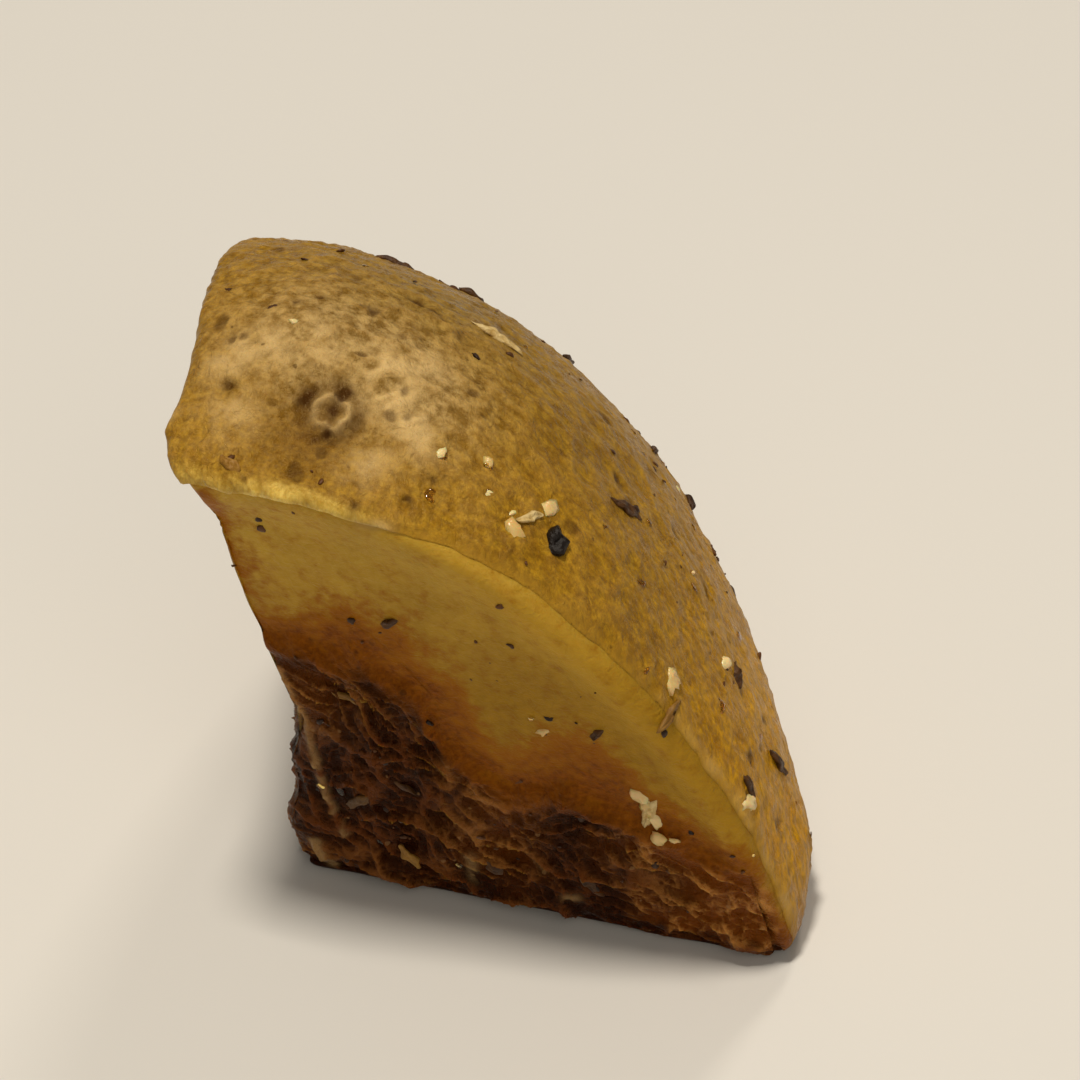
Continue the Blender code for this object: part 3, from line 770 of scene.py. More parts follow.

# the lip's pale band: partly the skin edge's own paler tone, partly a painted highlight
lip_ground = left_of_face * (0.35 + 0.65 * smoothstep(0.3, 0.6, layered(targets + 33.0, 2.6, 3)))
broken = smoothstep(0.25, 0.7, layered(targets + 70.0, 1.2, 3))
# this pale mask is painted highlight: glints on the patches, the scar's strokes and ring, and the rim dash
pale = near_places(targets, PALE_PATCHES) * broken
ragged = targets + 0.8 * drift(targets, 0.55)
# the scar's own dark pit, spot, smear and middle, plus painted shade in the moat round the ring
dark = 1.2 * near_point(ragged, SCAR_PIT, 0.36) + near_point(ragged, SCAR_SPOT, 0.42)
dark += 0.6 * near_point(ragged, SCAR_SMEAR, 0.55) + 1.2 * near_point(ragged, SCAR, 0.62) + 0.75 * moat
skin_marks = dict(
    # the crease ridges are painted lighter: a painted highlight
    crease=creases, freckle=freckles, roast=marks["brown"], scar=dark,
    # tan: the greyish tan near the scar, partly a painted sheen
    tan=near_places(targets, TAN_PLACES),
    # the lip: its own paler tone and a painted highlight
    lip=1.3 * bell(np.maximum(from_front - 0.3, 0.0), 0.6) * lip_ground,
    worn=bell(from_rim, 0.7) * smoothstep(8.0, 13.0, points[:, 0]),
    low_rim=bell(from_front - 0.5, 0.45) * smoothstep(22.0, 26.5, points[:, 0]) * broken,
    # grey paints the dull sheen of the top back: a painted sheen
    grey=near_point(targets, *GREY_PLACE),
    low=smoothstep(30.0, 10.0, points[:, 2]),
    # painted shade in the hollow beside the scar, over a redder tint
    hollow=near_point(targets, *HOLLOW_PLACE),
    # painted highlights: glints on patches, strokes, the ring and the rim dash
    pale=0.85 * pale + 0.9 * strokes + 0.9 * ring + near_line(targets, *RIM_DASH, STREAK_WIDTH),
)
skin_marks = {key: np.clip(values, 0.0, 1.0) for key, values in skin_marks.items()}
apex = (SKIN_ROWS - 1) * SKIN_COLUMNS  # the last row is one point
quads = np.minimum(grid_quads(SKIN_ROWS, SKIN_COLUMNS), apex)
faces = [list(dict.fromkeys(quad)) for quad in quads.tolist()]
skin = new_piece("potato_skin", points[:apex + 1], [face for face in faces if len(face) > 2],
                 **{key: values[:apex + 1] for key, values in skin_marks.items()})

# %% [markdown]
# ## Scattering on the surface
#
# Herbs, pepper, salt and oil all stick to the surface. Each kind is one small closed form, a function of
# two angles, copied to many places as one array: the form is stretched, bent, turned and set down on the
# chunk, and all the copies become one mesh.

# %% Small forms
COPY_UNEVEN, COPY_UNEVEN_SIZE = 0.3, 0.45


def round_form(rows, columns):
    """A unit ball as rings between two poles: points and faces."""
    rise = np.linspace(-math.pi / 2, math.pi / 2, rows + 1)[1:-1, None]
    turn = np.linspace(0.0, 2.0 * math.pi, columns, endpoint=False)[None]
    rings = np.stack((np.cos(rise) * np.cos(turn), np.cos(rise) * np.sin(turn),
                      np.sin(rise) + 0.0 * turn), axis=-1).reshape(-1, 3)
    form = np.concatenate((rings, [(0.0, 0.0, -1.0), (0.0, 0.0, 1.0)]))
    bottom, peak = len(rings), len(rings) + 1
    faces = [(r * columns + c, r * columns + (c + 1) % columns,
              (r + 1) * columns + (c + 1) % columns, (r + 1) * columns + c)
             for r in range(rows - 2) for c in range(columns)]
    faces += [((c + 1) % columns, c, bottom) for c in range(columns)]
    last = (rows - 2) * columns
    faces += [(last + c, last + (c + 1) % columns, peak) for c in range(columns)]
    return form, faces


def scatter(name, form, faces, places, ways_out, turns, sizes, bend, tones):
    """Copies of a form: scaled, bent by a square, turned about the way out, set down, made uneven."""
    basis = []
    for way, turn in zip(ways_out, turns):
        lie = Vector(way).to_track_quat("Z", "Y") @ Quaternion((0.0, 0.0, 1.0), turn)
        basis.append(np.array(lie.to_matrix()))
    copies = form[None] * sizes[:, None, :] / 2.0
    copies[..., 2] -= bend * copies[..., 0] ** 2
    copies = (np.einsum("nij,nkj->nki", np.array(basis), copies) + places[:, None, :]).reshape(-1, 3)
    copies += COPY_UNEVEN * drift(copies, COPY_UNEVEN_SIZE)
    step = len(form)
    all_faces = [[corner + n * step for corner in face] for n in range(len(places)) for face in faces]
    return new_piece(name, copies, all_faces, tone=np.repeat(tones, step))


def settle(ways):
    """The places and ways out where rays from the heart leave the skin, the crust or the flesh."""
    ways = unit(ways)
    places, out, shares, marks = chunk_surface(ways)
    relief = skin_relief(HEART + ways * skin_reach(HEART, ways)[:, None])[0]
    above = (SKIN_ABOVE + relief) * shares[0] + CRUST_ABOVE * marks["crust"]
    return places + out * above[:, None], out


print("a ray straight up leaves the skin at", settle(UP[None])[0].round(1).tolist())

# %% [markdown]
# ## Dried herbs
#
# The solid has the larger flakes fused to it, by a rule: first the ones that show at the front, then
# seeded ones all round, no two close together. The same rule runs here, so each flake lies where the
# solid has it. Each is the one grooved, curved form in sizes of its own, and its tone, 0 to 1, later
# makes it burnt, brown, golden or straw-coloured. The first is a burnt crumb, thicker than a leaf. One
# seeded flake lies where the photograph shows bare skin, so it gets the golden tone of the skin.

# %% Herbs
SHOWN_HERBS = (
    ((17.9, -3.1, 31.8), 2.0, 1.5, 10.0, 0.0),
    ((11.0, 8.4, 36.1), 3.4, 0.9, 62.0, 1.0),
    ((22.8, -3.0, 12.4), 3.6, 1.1, 64.0, 1.0),
    ((16.4, -3.0, 33.0), 1.8, 0.8, 150.0, 1.0),
    ((28.0, -0.8, 14.6), 2.2, 0.9, 80.0, 0.1),
    ((20.4, -4.6, 19.2), 1.2, 0.8, 40.0, 0.1),
    ((8.6, -6.2, 26.0), 1.3, 0.8, 20.0, 0.15),
)
HERB_COUNT, HERB_SEED = 30, 11
HERB_LENGTHS, HERB_WIDTHS = (1.3, 3.4), (0.7, 1.1)
HERB_CLEAR_OF_FOOT, HERB_SPACING, LOWEST_RISE = 3.0, 3.2, -0.75
HERB_THICK, HERB_SLIM, HERB_LIFT = 0.46, 0.7, 0.10
TONE_STEP, DARK_TONES = 0.37, 0.7
GOLDEN_FLAKE, GOLDEN_TONE = 23, 0.72
CRUMB_SIZE = (1.8, 1.5, 1.2)
HERB_BEND = 0.05


def herb_rule():
    """Rays, lengths, widths, turns and tones: the shown ones, then draws kept if clear of the others."""
    rays = [np.array(point) - HEART for point, *_ in SHOWN_HERBS]
    rest = [(length, width, math.radians(turn), tone) for _, length, width, turn, tone in SHOWN_HERBS]
    taken = [settle(ray[None])[0][0] for ray in rays]
    rng = random.Random(HERB_SEED)
    while len(taken) < len(SHOWN_HERBS) + HERB_COUNT:
        rise = rng.uniform(LOWEST_RISE, 1.0)
        around = rng.uniform(-math.pi, math.pi)
        length, width = rng.uniform(*HERB_LENGTHS), rng.uniform(*HERB_WIDTHS)
        turn = rng.uniform(0.0, math.pi)
        flat = math.sqrt(1.0 - rise * rise)
        ray = np.array((flat * math.cos(around), flat * math.sin(around), rise))
        place = settle(ray[None])[0][0]
        if place[2] < HERB_CLEAR_OF_FOOT:
            continue
        if min(np.linalg.norm(place - other) for other in taken) < HERB_SPACING:
            continue
        rays.append(ray)
        rest.append((length, width, turn, (len(taken) * TONE_STEP) % 1.0 * DARK_TONES))
        taken.append(place)
    return np.array(rays), np.array(rest)


needle, herb_faces = round_form(12, 20)
needle[:, 1] *= 1.0 - 0.5 * needle[:, 0] ** 2
needle[:, 1] += 0.25 * np.sin(2.5 * needle[:, 0])
needle[:, 2] += 0.15 * np.sin(7.0 * needle[:, 0]) - 0.4 * bell(needle[:, 1], 0.35) * (needle[:, 2] > 0.0)
herb_rays, herb_facts = herb_rule()
herb_facts[GOLDEN_FLAKE, 3] = GOLDEN_TONE
herb_lengths, herb_widths, herb_turns, herb_tones = herb_facts.T
places, ways_out = settle(herb_rays)
sizes = np.stack((herb_lengths, herb_widths * HERB_SLIM, np.full(len(places), HERB_THICK)), axis=1)
sizes[0] = CRUMB_SIZE
herbs = scatter("dried_herbs", needle, herb_faces, places + ways_out * HERB_LIFT, ways_out, herb_turns,
                sizes, HERB_BEND, herb_tones)

# %% [markdown]
# ## Specks, salt and oil
#
# Between the flakes lie much finer things: crumbs of herb and pepper, a few grains of salt, and beads of
# oil that catch the light. They are too small for the solid, so they are only here. Each kind starts
# with those that the photograph shows, and seeded ones follow. A shown grain of salt has its length, and
# one with a third number is a chip, longer than wide and turned by that many degrees. Several of the
# shown pale grains are painted highlights: pale specks set where the surface glints with oil.

# %% Specks, salt and oil
SPECK_COUNT, SPECK_SIZES = 240, (0.16, 0.5)
SALT_COUNT, SALT_SIZES = 9, (0.3, 0.6)
BEAD_COUNT, BEAD_SIZES = 46, (0.3, 0.8)
SHOWN_SPECKS = ((16.2, -7.2, 30.2), (5.9, -6.1, 25.5), (9.8, -4.2, 17.7), (17.4, -4.3, 18.0),
                (20.2, -4.7, 19.4), (19.8, -5.3, 22.2), (21.1, -5.3, 21.9), (12.1, 7.2, 35.9),
                (24.9, -4.8, 21.0), (27.5, 0.7, 15.1), (26.0, 3.8, 18.3), (0.9, -7.8, 32.5))
# several of these shown pale grains are painted highlights, pale specks set where the surface glints with
# oil
SHOWN_SALT = (((17.1, -1.6, 32.9), 1.0), ((16.1, -4.5, 33.2), 1.1), ((28.1, -1.1, 13.7), 1.0),
              ((11.7, -3.1, 36.8), 0.6), ((13.9, -2.0, 35.6), 0.7), ((14.4, -3.6, 34.8), 0.7),
              ((24.2, -2.6, 23.0), 1.1), ((17.0, -4.3, 18.4), 0.6), ((15.6, -3.4, 33.6), 0.5),
              ((22.3, -3.3, 13.8), 1.1, 150.0), ((22.6, -3.0, 12.9), 1.2, 110.0),
              ((22.9, -2.8, 11.8), 1.2, 125.0), ((23.2, -2.6, 10.7), 1.1, 100.0),
              ((24.2, -2.6, 10.8), 0.6), ((26.4, 3.0, 20.0), 0.7))
SHOWN_BEADS = ((11.8, -3.2, 36.7), (14.0, -2.0, 35.6), (14.5, -3.7, 34.8), (12.0, -5.6, 35.9),
               (21.7, 0.0, 27.4), (23.4, 4.8, 23.6), (25.1, 7.8, 17.9), (26.0, 0.2, 19.3))
FINE_CLEAR_OF_FOOT, SHOWN_SHARE = 1.5, 0.85
CHIP_LONG, CHIP_WIDE = 1.5, 0.75


def fine_scatter(name, shown, count, low_high, flatness, sink, seed, roughness):
    """Lumpy balls: the shown ones with their sizes and turns, then seeded ones above the foot."""
    rng = np.random.default_rng(seed)
    shown = [item if isinstance(item[0], tuple) else (item, SHOWN_SHARE * low_high[1]) for item in shown]
    rays = rng.normal(size=(3 * count, 3)) * (1.0, 1.0, 1.1)
    rays = np.concatenate((np.array([place for place, *_ in shown]) - HEART, rays))
    places, ways_out = settle(rays)
    fine = np.flatnonzero(places[:, 2] > FINE_CLEAR_OF_FOOT)[:len(shown) + count]
    places, ways_out = places[fine], ways_out[fine]
    size = np.interp(rng.random(len(fine)) ** 2.0, (0.0, 1.0), low_high)
    size[:len(shown)] = [size for _, size, *_ in shown]
    sizes = size[:, None] * np.stack((rng.uniform(0.8, 1.5, len(fine)), np.ones(len(fine)),
                                      np.full(len(fine), flatness)), axis=1)
    form, faces = round_form(6, 9)
    form = form * (1.0 + roughness * (noise(form * 3.0 + seed, 1.6) - 0.5))[:, None]
    places = places - ways_out * (size * sink)[:, None]
    turns = rng.uniform(0.0, math.pi, len(fine))
    for n, (_, chip_size, *turned) in enumerate(shown):
        if turned:
            turns[n] = math.radians(turned[0])
            sizes[n] = chip_size * np.array((CHIP_LONG, CHIP_WIDE, flatness))
    tones = rng.random(len(fine))
    return scatter(name, form, faces, places, ways_out, turns, sizes, 0.0, tones)


specks = fine_scatter("spice_specks", SHOWN_SPECKS, SPECK_COUNT, SPECK_SIZES, 0.55, 0.08, 21, 1.1)
# salt grains, and pale grains that stand as painted highlights for glints of oil
salt = fine_scatter("salt_grains", SHOWN_SALT, SALT_COUNT, SALT_SIZES, 0.6, 0.02, 22, 1.6)
beads = fine_scatter("oil_beads", SHOWN_BEADS, BEAD_COUNT, BEAD_SIZES, 0.34, 0.04, 23, 0.2)

# %% [markdown]
# ## Building finishes from nodes
#
# Each finish is a small network of shader nodes. A helper that makes a node, fills its sockets and links
# whatever is itself a socket keeps a network readable as a few lines. What several finishes share, such
# as mottling and creases, is a node group with named inputs, and each finish gives it its own values.
# A colour is built up in layers, as paint is: each layer covers the last by a share of its mask.

# %% Node helpers
def fill(tree, socket, value):
    """Links a socket to a socket, or sets its value."""
    if isinstance(value, bpy.types.NodeSocket):
        tree.links.new(value, socket)
    else:
        socket.default_value = value


def node(tree, kind, inputs=(), **settings):
    """A node with its settings set and its inputs filled."""
    made = tree.nodes.new(kind)
    for key, value in settings.items():
        setattr(made, key, value)
    for key, value in dict(inputs).items():
        fill(tree, made.inputs[key], value)
    return made


def maths(tree, operation, first, second=0.0, third=0.0, clamp=False):
    """The result of a Math node."""
    return node(tree, "ShaderNodeMath", {0: first, 1: second, 2: third}, operation=operation,
                use_clamp=clamp).outputs[0]


def ramp(tree, value, low, high, to_low=0.0, to_high=1.0):
    """A smooth step of a value."""
    made = node(tree, "ShaderNodeMapRange", {"Value": value, "From Min": low, "From Max": high,
                                             "To Min": to_low, "To Max": to_high},
                interpolation_type="SMOOTHSTEP")
    return made.outputs["Result"]


def mix(tree, share, first, second):
    """One colour giving way to another."""
    return node(tree, "ShaderNodeMix", {0: share, 6: first, 7: second}, data_type="RGBA").outputs[2]


def attribute(tree, name):
    """A float attribute of the mesh's points."""
    return node(tree, "ShaderNodeAttribute", attribute_name=name).outputs["Fac"]


# %% Helpers for colours, groups and whole finishes
def srgb(red, green, blue):
    """A colour given as 0 to 255 becomes the linear light that a shader wants."""
    return tuple((v / 255.0 / 12.92) if v <= 10 else ((v / 255.0 + 0.055) / 1.055) ** 2.4
                 for v in (red, green, blue)) + (1.0,)


def new_group(name, inputs, output):
    """A node group with float or vector inputs and one float output: the group, its inputs and output."""
    group = bpy.data.node_groups.new(name, "ShaderNodeTree")
    for key, value in inputs.items():
        kind = "NodeSocketVector" if value is None else "NodeSocketFloat"
        socket = group.interface.new_socket(key, in_out="INPUT", socket_type=kind)
        if value is not None:
            socket.default_value = value
    group.interface.new_socket(output, in_out="OUTPUT", socket_type="NodeSocketFloat")
    return group, group.nodes.new("NodeGroupInput").outputs, group.nodes.new("NodeGroupOutput").inputs


def use(tree, group, **inputs):
    """A group placed in a material: its output."""
    made = node(tree, "ShaderNodeGroup", node_tree=group)
    for key, value in inputs.items():
        fill(tree, made.inputs[key], value)
    return made.outputs[0]


def palette(**colours):
    """Colours by name, each given as 0 to 255."""
    return {name: srgb(*values) for name, values in colours.items()}


def lay_over(tree, colour, colours, masks, layers):
    """Layers over a colour, each by a share of its mask; some go into a second colour by another."""
    for share, mask, first, *over_to in layers:
        over = colours[first]
        if over_to:
            blend, second = over_to
            over = mix(tree, masks[blend], over, colours[second])
        colour = mix(tree, maths(tree, "MULTIPLY", masks[mask], share), colour, over)
    return colour


def new_finish(name, *pieces):
    """A material on some pieces: its tree and its Principled shader."""
    material = bpy.data.materials.new(name)
    material.use_nodes = True
    for piece in pieces:
        piece.data.materials.append(material)
    return material.node_tree, material.node_tree.nodes["Principled BSDF"]


def object_place(tree):
    """The pieces' Object coordinates."""
    return node(tree, "ShaderNodeTexCoord").outputs["Object"]


def bump(tree, shader, height, distance):
    """A height becomes a bent normal, where 1 stands for the distance in millimetres."""
    made = node(tree, "ShaderNodeBump", {"Height": height, "Distance": distance * MM})
    tree.links.new(made.outputs["Normal"], shader.inputs["Normal"])


def uniform(shader, **values):
    """Numbers and colours that are the same all over, set on the shader's own sockets."""
    for key, value in values.items():
        shader.inputs[key.replace("_", " ")].default_value = value


print("middle grey as light:", [round(v, 3) for v in srgb(128, 128, 128)])

# %% Shared groups: mottle, spots and creases
SPOT_WARP_SCALE, SPOT_WARP = 2500.0, 0.25
SPOT_SOFT, SPOT_LEAST, SPOT_SPAN = 0.06, 0.4, 0.8
CREASE_SHARES = (1.0, 0.45)


def make_mottle():
    """Soft patches: fractal noise of a size, sharpened about its middle."""
    group, given, result = new_group("mottle", {"Vector": None, "Size": 3.0, "Sharpness": 2.0}, "Mask")
    scale = maths(group, "DIVIDE", 1.0 / MM, given["Size"])
    cloud = node(group, "ShaderNodeTexNoise",
                 {"Vector": given["Vector"], "Scale": scale, "Detail": 4.0, "Roughness": 0.6})
    centred = maths(group, "SUBTRACT", cloud.outputs["Fac"], 0.5)
    fill(group, result["Mask"], maths(group, "MULTIPLY_ADD", centred, given["Sharpness"], 0.5, clamp=True))
    return group


def make_spots():
    """Small round spots: one in a share of the cells of a lattice, each of its own size."""
    inputs = {"Vector": None, "Size": 1.5, "Radius": 0.2, "Share": 0.3}
    group, given, result = new_group("spots", inputs, "Mask")
    scale = maths(group, "DIVIDE", 1.0 / MM, given["Size"])
    warp = node(group, "ShaderNodeTexNoise", {"Vector": given["Vector"], "Scale": SPOT_WARP_SCALE})
    shift = node(group, "ShaderNodeVectorMath", operation="SCALE")
    fill(group, shift.inputs[0], warp.outputs["Color"])
    fill(group, shift.inputs["Scale"], SPOT_WARP * MM)
    moved = node(group, "ShaderNodeVectorMath", {0: given["Vector"], 1: shift.outputs[0]}, operation="ADD")
    cells = node(group, "ShaderNodeTexVoronoi", {"Vector": moved.outputs[0], "Scale": scale})
    random_parts = node(group, "ShaderNodeSeparateColor", {"Color": cells.outputs["Color"]})
    widened = maths(group, "MULTIPLY_ADD", random_parts.outputs["Green"], SPOT_SPAN, SPOT_LEAST)
    radius = maths(group, "MULTIPLY", given["Radius"], widened)
    depth = maths(group, "SUBTRACT", radius, cells.outputs["Distance"])
    inside = maths(group, "DIVIDE", depth, SPOT_SOFT, clamp=True)
    chosen = maths(group, "LESS_THAN", random_parts.outputs["Red"], given["Share"])
    fill(group, result["Mask"], maths(group, "MULTIPLY", inside, chosen))
    return group


def make_creases():
    """Folded noise: one minus its distance from the middle, at two sizes, as a height."""
    group, given, result = new_group("creases", {"Vector": None, "Size": 1.0, "Sharpness": 3.0}, "Height")
    heights = []
    for share in CREASE_SHARES:
        size = maths(group, "MULTIPLY", given["Size"], share)
        scale = maths(group, "DIVIDE", 1.0 / MM, size)
        cloud = node(group, "ShaderNodeTexNoise",
                     {"Vector": given["Vector"], "Scale": scale, "Detail": 3.0, "Distortion": 0.6})
        folded = maths(group, "ABSOLUTE", maths(group, "SUBTRACT", cloud.outputs["Fac"], 0.5))
        scaled = maths(group, "MULTIPLY", folded, given["Sharpness"])
        crest = maths(group, "SUBTRACT", 1.0, scaled, clamp=True)
        heights.append(maths(group, "MULTIPLY", crest, share))
    fill(group, result["Height"], maths(group, "ADD", *heights))
    return group


MOTTLE, SPOTS, CREASES = make_mottle(), make_spots(), make_creases()
print("groups:", [group.name for group in bpy.data.node_groups])

# %% [markdown]
# ## The finish of the flesh and the crust
#
# Cooked potato lets light in, so the shader scatters it under the surface. Its colour walks along the
# browning: pale and slightly grey, then yellow, brown, and the near black of the crust, which is glossy
# with oil. The crust's crests are painted lighter as highlight and its pits darker as painted shade, and
# small painted glints of oil lie on it; the strip beside the skin is a painted highlight on the rounded
# edge. Where it is charred, both its crests and its pits are darker.

# %% Flesh and crust finish
OILY = (1.0, 0.78, 0.35, 1.0)
SCATTER = (1.0, 0.5, 0.15)
YELLOW_STEP, TOAST_COLOUR_STEP, BURNT_STEP, BURNT_SHARE = (0.0, 0.5), (0.4, 0.95), (0.55, 1.05), 0.55
CREST_STEP, CRUST_COLOUR_STEP = (0.55, 1.25), (0.0, 0.7)
FLESH_ROUGH, CRUST_ROUGH, FLESH_BUMP = 0.45, 0.26, 0.16

# painted light among these colours: the rim colour is a painted highlight on the rounded edge beside the
# skin, the crest colours are painted highlights on the crust's crests, the pit colours are painted shade
# in its pits, and the spark colour paints glints of oil
FLESH_COLOURS = palette(
    pale=(202, 162, 56), cloudy=(148, 114, 32), grainy=(162, 112, 18), floury=(196, 160, 72),
    low=(158, 114, 14), low_grainy=(122, 86, 6), rim=(194, 150, 42), yellow=(146, 88, 3),
    toast=(138, 76, 6), dark_toast=(98, 48, 4), burnt=(58, 28, 5), spark=(150, 112, 72),
    crest=(194, 134, 66), charred_crest=(96, 50, 18), pit=(112, 56, 6), charred_pit=(40, 11, 1),
    streak=(168, 136, 90))
# the rim layer is a painted highlight along the rounded edge beside the skin
FLESH_LAYERS = ((0.45, "grain", "grainy"), (0.5, "fine", "floury"),
                (0.75, "lower", "low", "grain", "low_grainy"), (0.8, "rim", "rim"))

tree, shader = new_finish("roast flesh", flesh, crust)
place = object_place(tree)
flesh_keys = ("deep", "brown", "rim", "crest", "char", "streak", "lower")
masks = {key: attribute(tree, key) for key in flesh_keys}
masks["patches"] = use(tree, MOTTLE, Vector=place, Size=6.0, Sharpness=2.2)
masks["grain"] = use(tree, MOTTLE, Vector=place, Size=0.9, Sharpness=2.4)
masks["fine"] = use(tree, MOTTLE, Vector=place, Size=0.35, Sharpness=2.4)
# painted glints of oil: small pale spots on the crust
masks["sparks"] = use(tree, SPOTS, Vector=place, Size=0.8, Radius=0.2, Share=0.3)
uneven = maths(tree, "MULTIPLY_ADD", maths(tree, "SUBTRACT", masks["grain"], 0.5), 0.5, masks["brown"])

pale_flesh = mix(tree, masks["patches"], FLESH_COLOURS["pale"], FLESH_COLOURS["cloudy"])
pale_flesh = lay_over(tree, pale_flesh, FLESH_COLOURS, masks, FLESH_LAYERS)
yellow = mix(tree, ramp(tree, uneven, *YELLOW_STEP), pale_flesh, FLESH_COLOURS["yellow"])
brown = mix(tree, masks["fine"], FLESH_COLOURS["toast"], FLESH_COLOURS["dark_toast"])
toasted = mix(tree, ramp(tree, uneven, *TOAST_COLOUR_STEP), yellow, brown)
burnt_spots = use(tree, SPOTS, Vector=place, Size=0.9, Radius=0.24, Share=0.45)
burnt_spots = maths(tree, "MULTIPLY", burnt_spots, ramp(tree, uneven, *BURNT_STEP, 0.0, BURNT_SHARE))
toasted = mix(tree, burnt_spots, toasted, FLESH_COLOURS["burnt"])

# the crests are painted lighter as highlight and the pits darker as painted shade, charred or not
crest_colour = mix(tree, masks["char"], FLESH_COLOURS["crest"], FLESH_COLOURS["charred_crest"])
pit_colour = mix(tree, masks["char"], FLESH_COLOURS["pit"], FLESH_COLOURS["charred_pit"])
sharp_creases = use(tree, CREASES, Vector=place, Size=0.7, Sharpness=5.0)
fine_crest = maths(tree, "MULTIPLY_ADD", sharp_creases, 0.25, masks["crest"])
dark = mix(tree, ramp(tree, fine_crest, *CREST_STEP), pit_colour, crest_colour)
# the crust gets small painted glints of oil
dark = lay_over(tree, dark, FLESH_COLOURS, masks, [(0.45, "sparks", "spark")])
colour = mix(tree, ramp(tree, masks["deep"], *CRUST_COLOUR_STEP), toasted, dark)
# pale seams and scraps, and painted highlights along the front left edge and by the rim
colour = lay_over(tree, colour, FLESH_COLOURS, masks, [(0.75, "streak", "streak")])

fill(tree, shader.inputs["Base Color"], colour)
fill(tree, shader.inputs["Roughness"], ramp(tree, masks["deep"], 0.0, 1.0, FLESH_ROUGH, CRUST_ROUGH))
uniform(shader, Specular_IOR_Level=0.09, Specular_Tint=OILY, Subsurface_Weight=0.2,
        Subsurface_Radius=SCATTER, Subsurface_Scale=0.0014)
relief_share = maths(tree, "MULTIPLY_ADD", masks["deep"], 0.9, 0.3)
soft_creases = use(tree, CREASES, Vector=place, Size=0.7, Sharpness=3.0)
bump(tree, shader, maths(tree, "MULTIPLY", soft_creases, relief_share), FLESH_BUMP)
print("the roast flesh has", len(tree.nodes), "nodes")

# %% [markdown]
# ## The finish of the skin
#
# The skin is thin and shiny with oil. Near the scar it is greyish tan, partly a painted sheen, elsewhere
# golden brown, and it has small dark spots where it breathes. Its lip along the cut is paler, because
# light passes through, and is painted brighter still as a highlight. Pale patches, strokes and the ring
# of the scar are painted highlights, the grey at the top back is a painted sheen, the crease ridges are
# painted lighter as a highlight, and the hollow and the moat by the scar are painted darker as shade.
# Its grain and its creases run along the potato, so they read coordinates that are drawn out that way,
# the creases more than the grain.

# %% Skin finish
# painted light among these colours: the lip's partly, the tan and grey ones as sheen, the crease and pale
# ones as highlight, and the hollow ones and the scar colour in the moat as shade
SKIN_COLOURS = palette(
    plain=(156, 112, 16), dull=(128, 90, 10), low=(226, 160, 3), low_dull=(190, 131, 1),
    grain=(190, 146, 28), low_grain=(228, 170, 14), fleck=(84, 54, 10), low_fleck=(112, 74, 4),
    grey=(102, 76, 22), light_grey=(148, 118, 50), tan=(112, 84, 36), light_tan=(182, 152, 98),
    crease=(184, 144, 76), hollow=(118, 82, 24), dark_hollow=(92, 58, 14), pale=(212, 180, 122),
    lip=(246, 216, 118), dark_lip=(216, 176, 74), worn=(164, 124, 40), low_rim=(206, 164, 84),
    roast=(112, 62, 12), spot=(64, 36, 10), scar=(58, 28, 6))
# layers of painted light: the lip partly, tan and grey as sheen, crease and pale as highlight, hollow and
# the scar's moat as shade
SKIN_LAYERS = (
    (0.80, "low", "low", "patches", "low_dull"), (0.62, "grain", "grain", "low", "low_grain"),
    (0.58, "flecks", "fleck", "low", "low_fleck"), (0.80, "grey", "grey", "grain", "light_grey"),
    (0.90, "tan", "tan", "grain", "light_tan"), (0.30, "crease", "crease"),
    (0.70, "hollow", "hollow", "flecks", "dark_hollow"), (0.80, "pale", "pale"),
    (0.85, "lip", "lip", "flecks", "dark_lip"), (0.70, "worn", "worn"), (0.70, "low_rim", "low_rim"),
    (0.60, "roast", "roast"), (0.80, "dark_spots", "spot"), (0.90, "scar", "scar"))
GRAIN_DRAWN, CREASES_DRAWN = 0.55, 0.7
SKIN_ROUGH, SKIN_BUMP, SPOT_BUMP = (0.27, 0.44), 0.09, 0.4

tree, shader = new_finish("potato skin", skin)
place = object_place(tree)


def drawn_out(share):
    """Object coordinates less a share of their part along the potato, which draws a pattern out."""
    along = node(tree, "ShaderNodeVectorMath", {0: place, 1: tuple(long)}, operation="DOT_PRODUCT")
    part = maths(tree, "MULTIPLY", along.outputs["Value"], share)
    less = node(tree, "ShaderNodeVectorMath", {0: tuple(long), "Scale": part}, operation="SCALE")
    drawn = node(tree, "ShaderNodeVectorMath", {0: place, 1: less.outputs[0]}, operation="SUBTRACT")
    return drawn.outputs[0]


fibres = drawn_out(GRAIN_DRAWN)
spots = use(tree, SPOTS, Vector=place, Size=1.1, Radius=0.14, Share=0.25)
masks = {key: attribute(tree, key) for key in skin_marks}
masks["patches"] = use(tree, MOTTLE, Vector=place, Size=6.0, Sharpness=2.6)
masks["grain"] = use(tree, MOTTLE, Vector=fibres, Size=0.7, Sharpness=4.4)
masks["flecks"] = use(tree, MOTTLE, Vector=fibres, Size=0.32, Sharpness=4.0)
masks["dark_spots"] = maths(tree, "MAXIMUM", maths(tree, "MULTIPLY", spots, 0.7), masks["freckle"])
colour = mix(tree, masks["patches"], SKIN_COLOURS["plain"], SKIN_COLOURS["dull"])
fill(tree, shader.inputs["Base Color"], lay_over(tree, colour, SKIN_COLOURS, masks, SKIN_LAYERS))
fill(tree, shader.inputs["Roughness"], ramp(tree, masks["grain"], 0.0, 1.0, *SKIN_ROUGH))
uniform(shader, Specular_IOR_Level=0.11, Specular_Tint=OILY, Subsurface_Weight=0.1,
        Subsurface_Radius=SCATTER, Subsurface_Scale=0.0010)
creased = use(tree, CREASES, Vector=drawn_out(CREASES_DRAWN), Size=0.7, Sharpness=3.0)
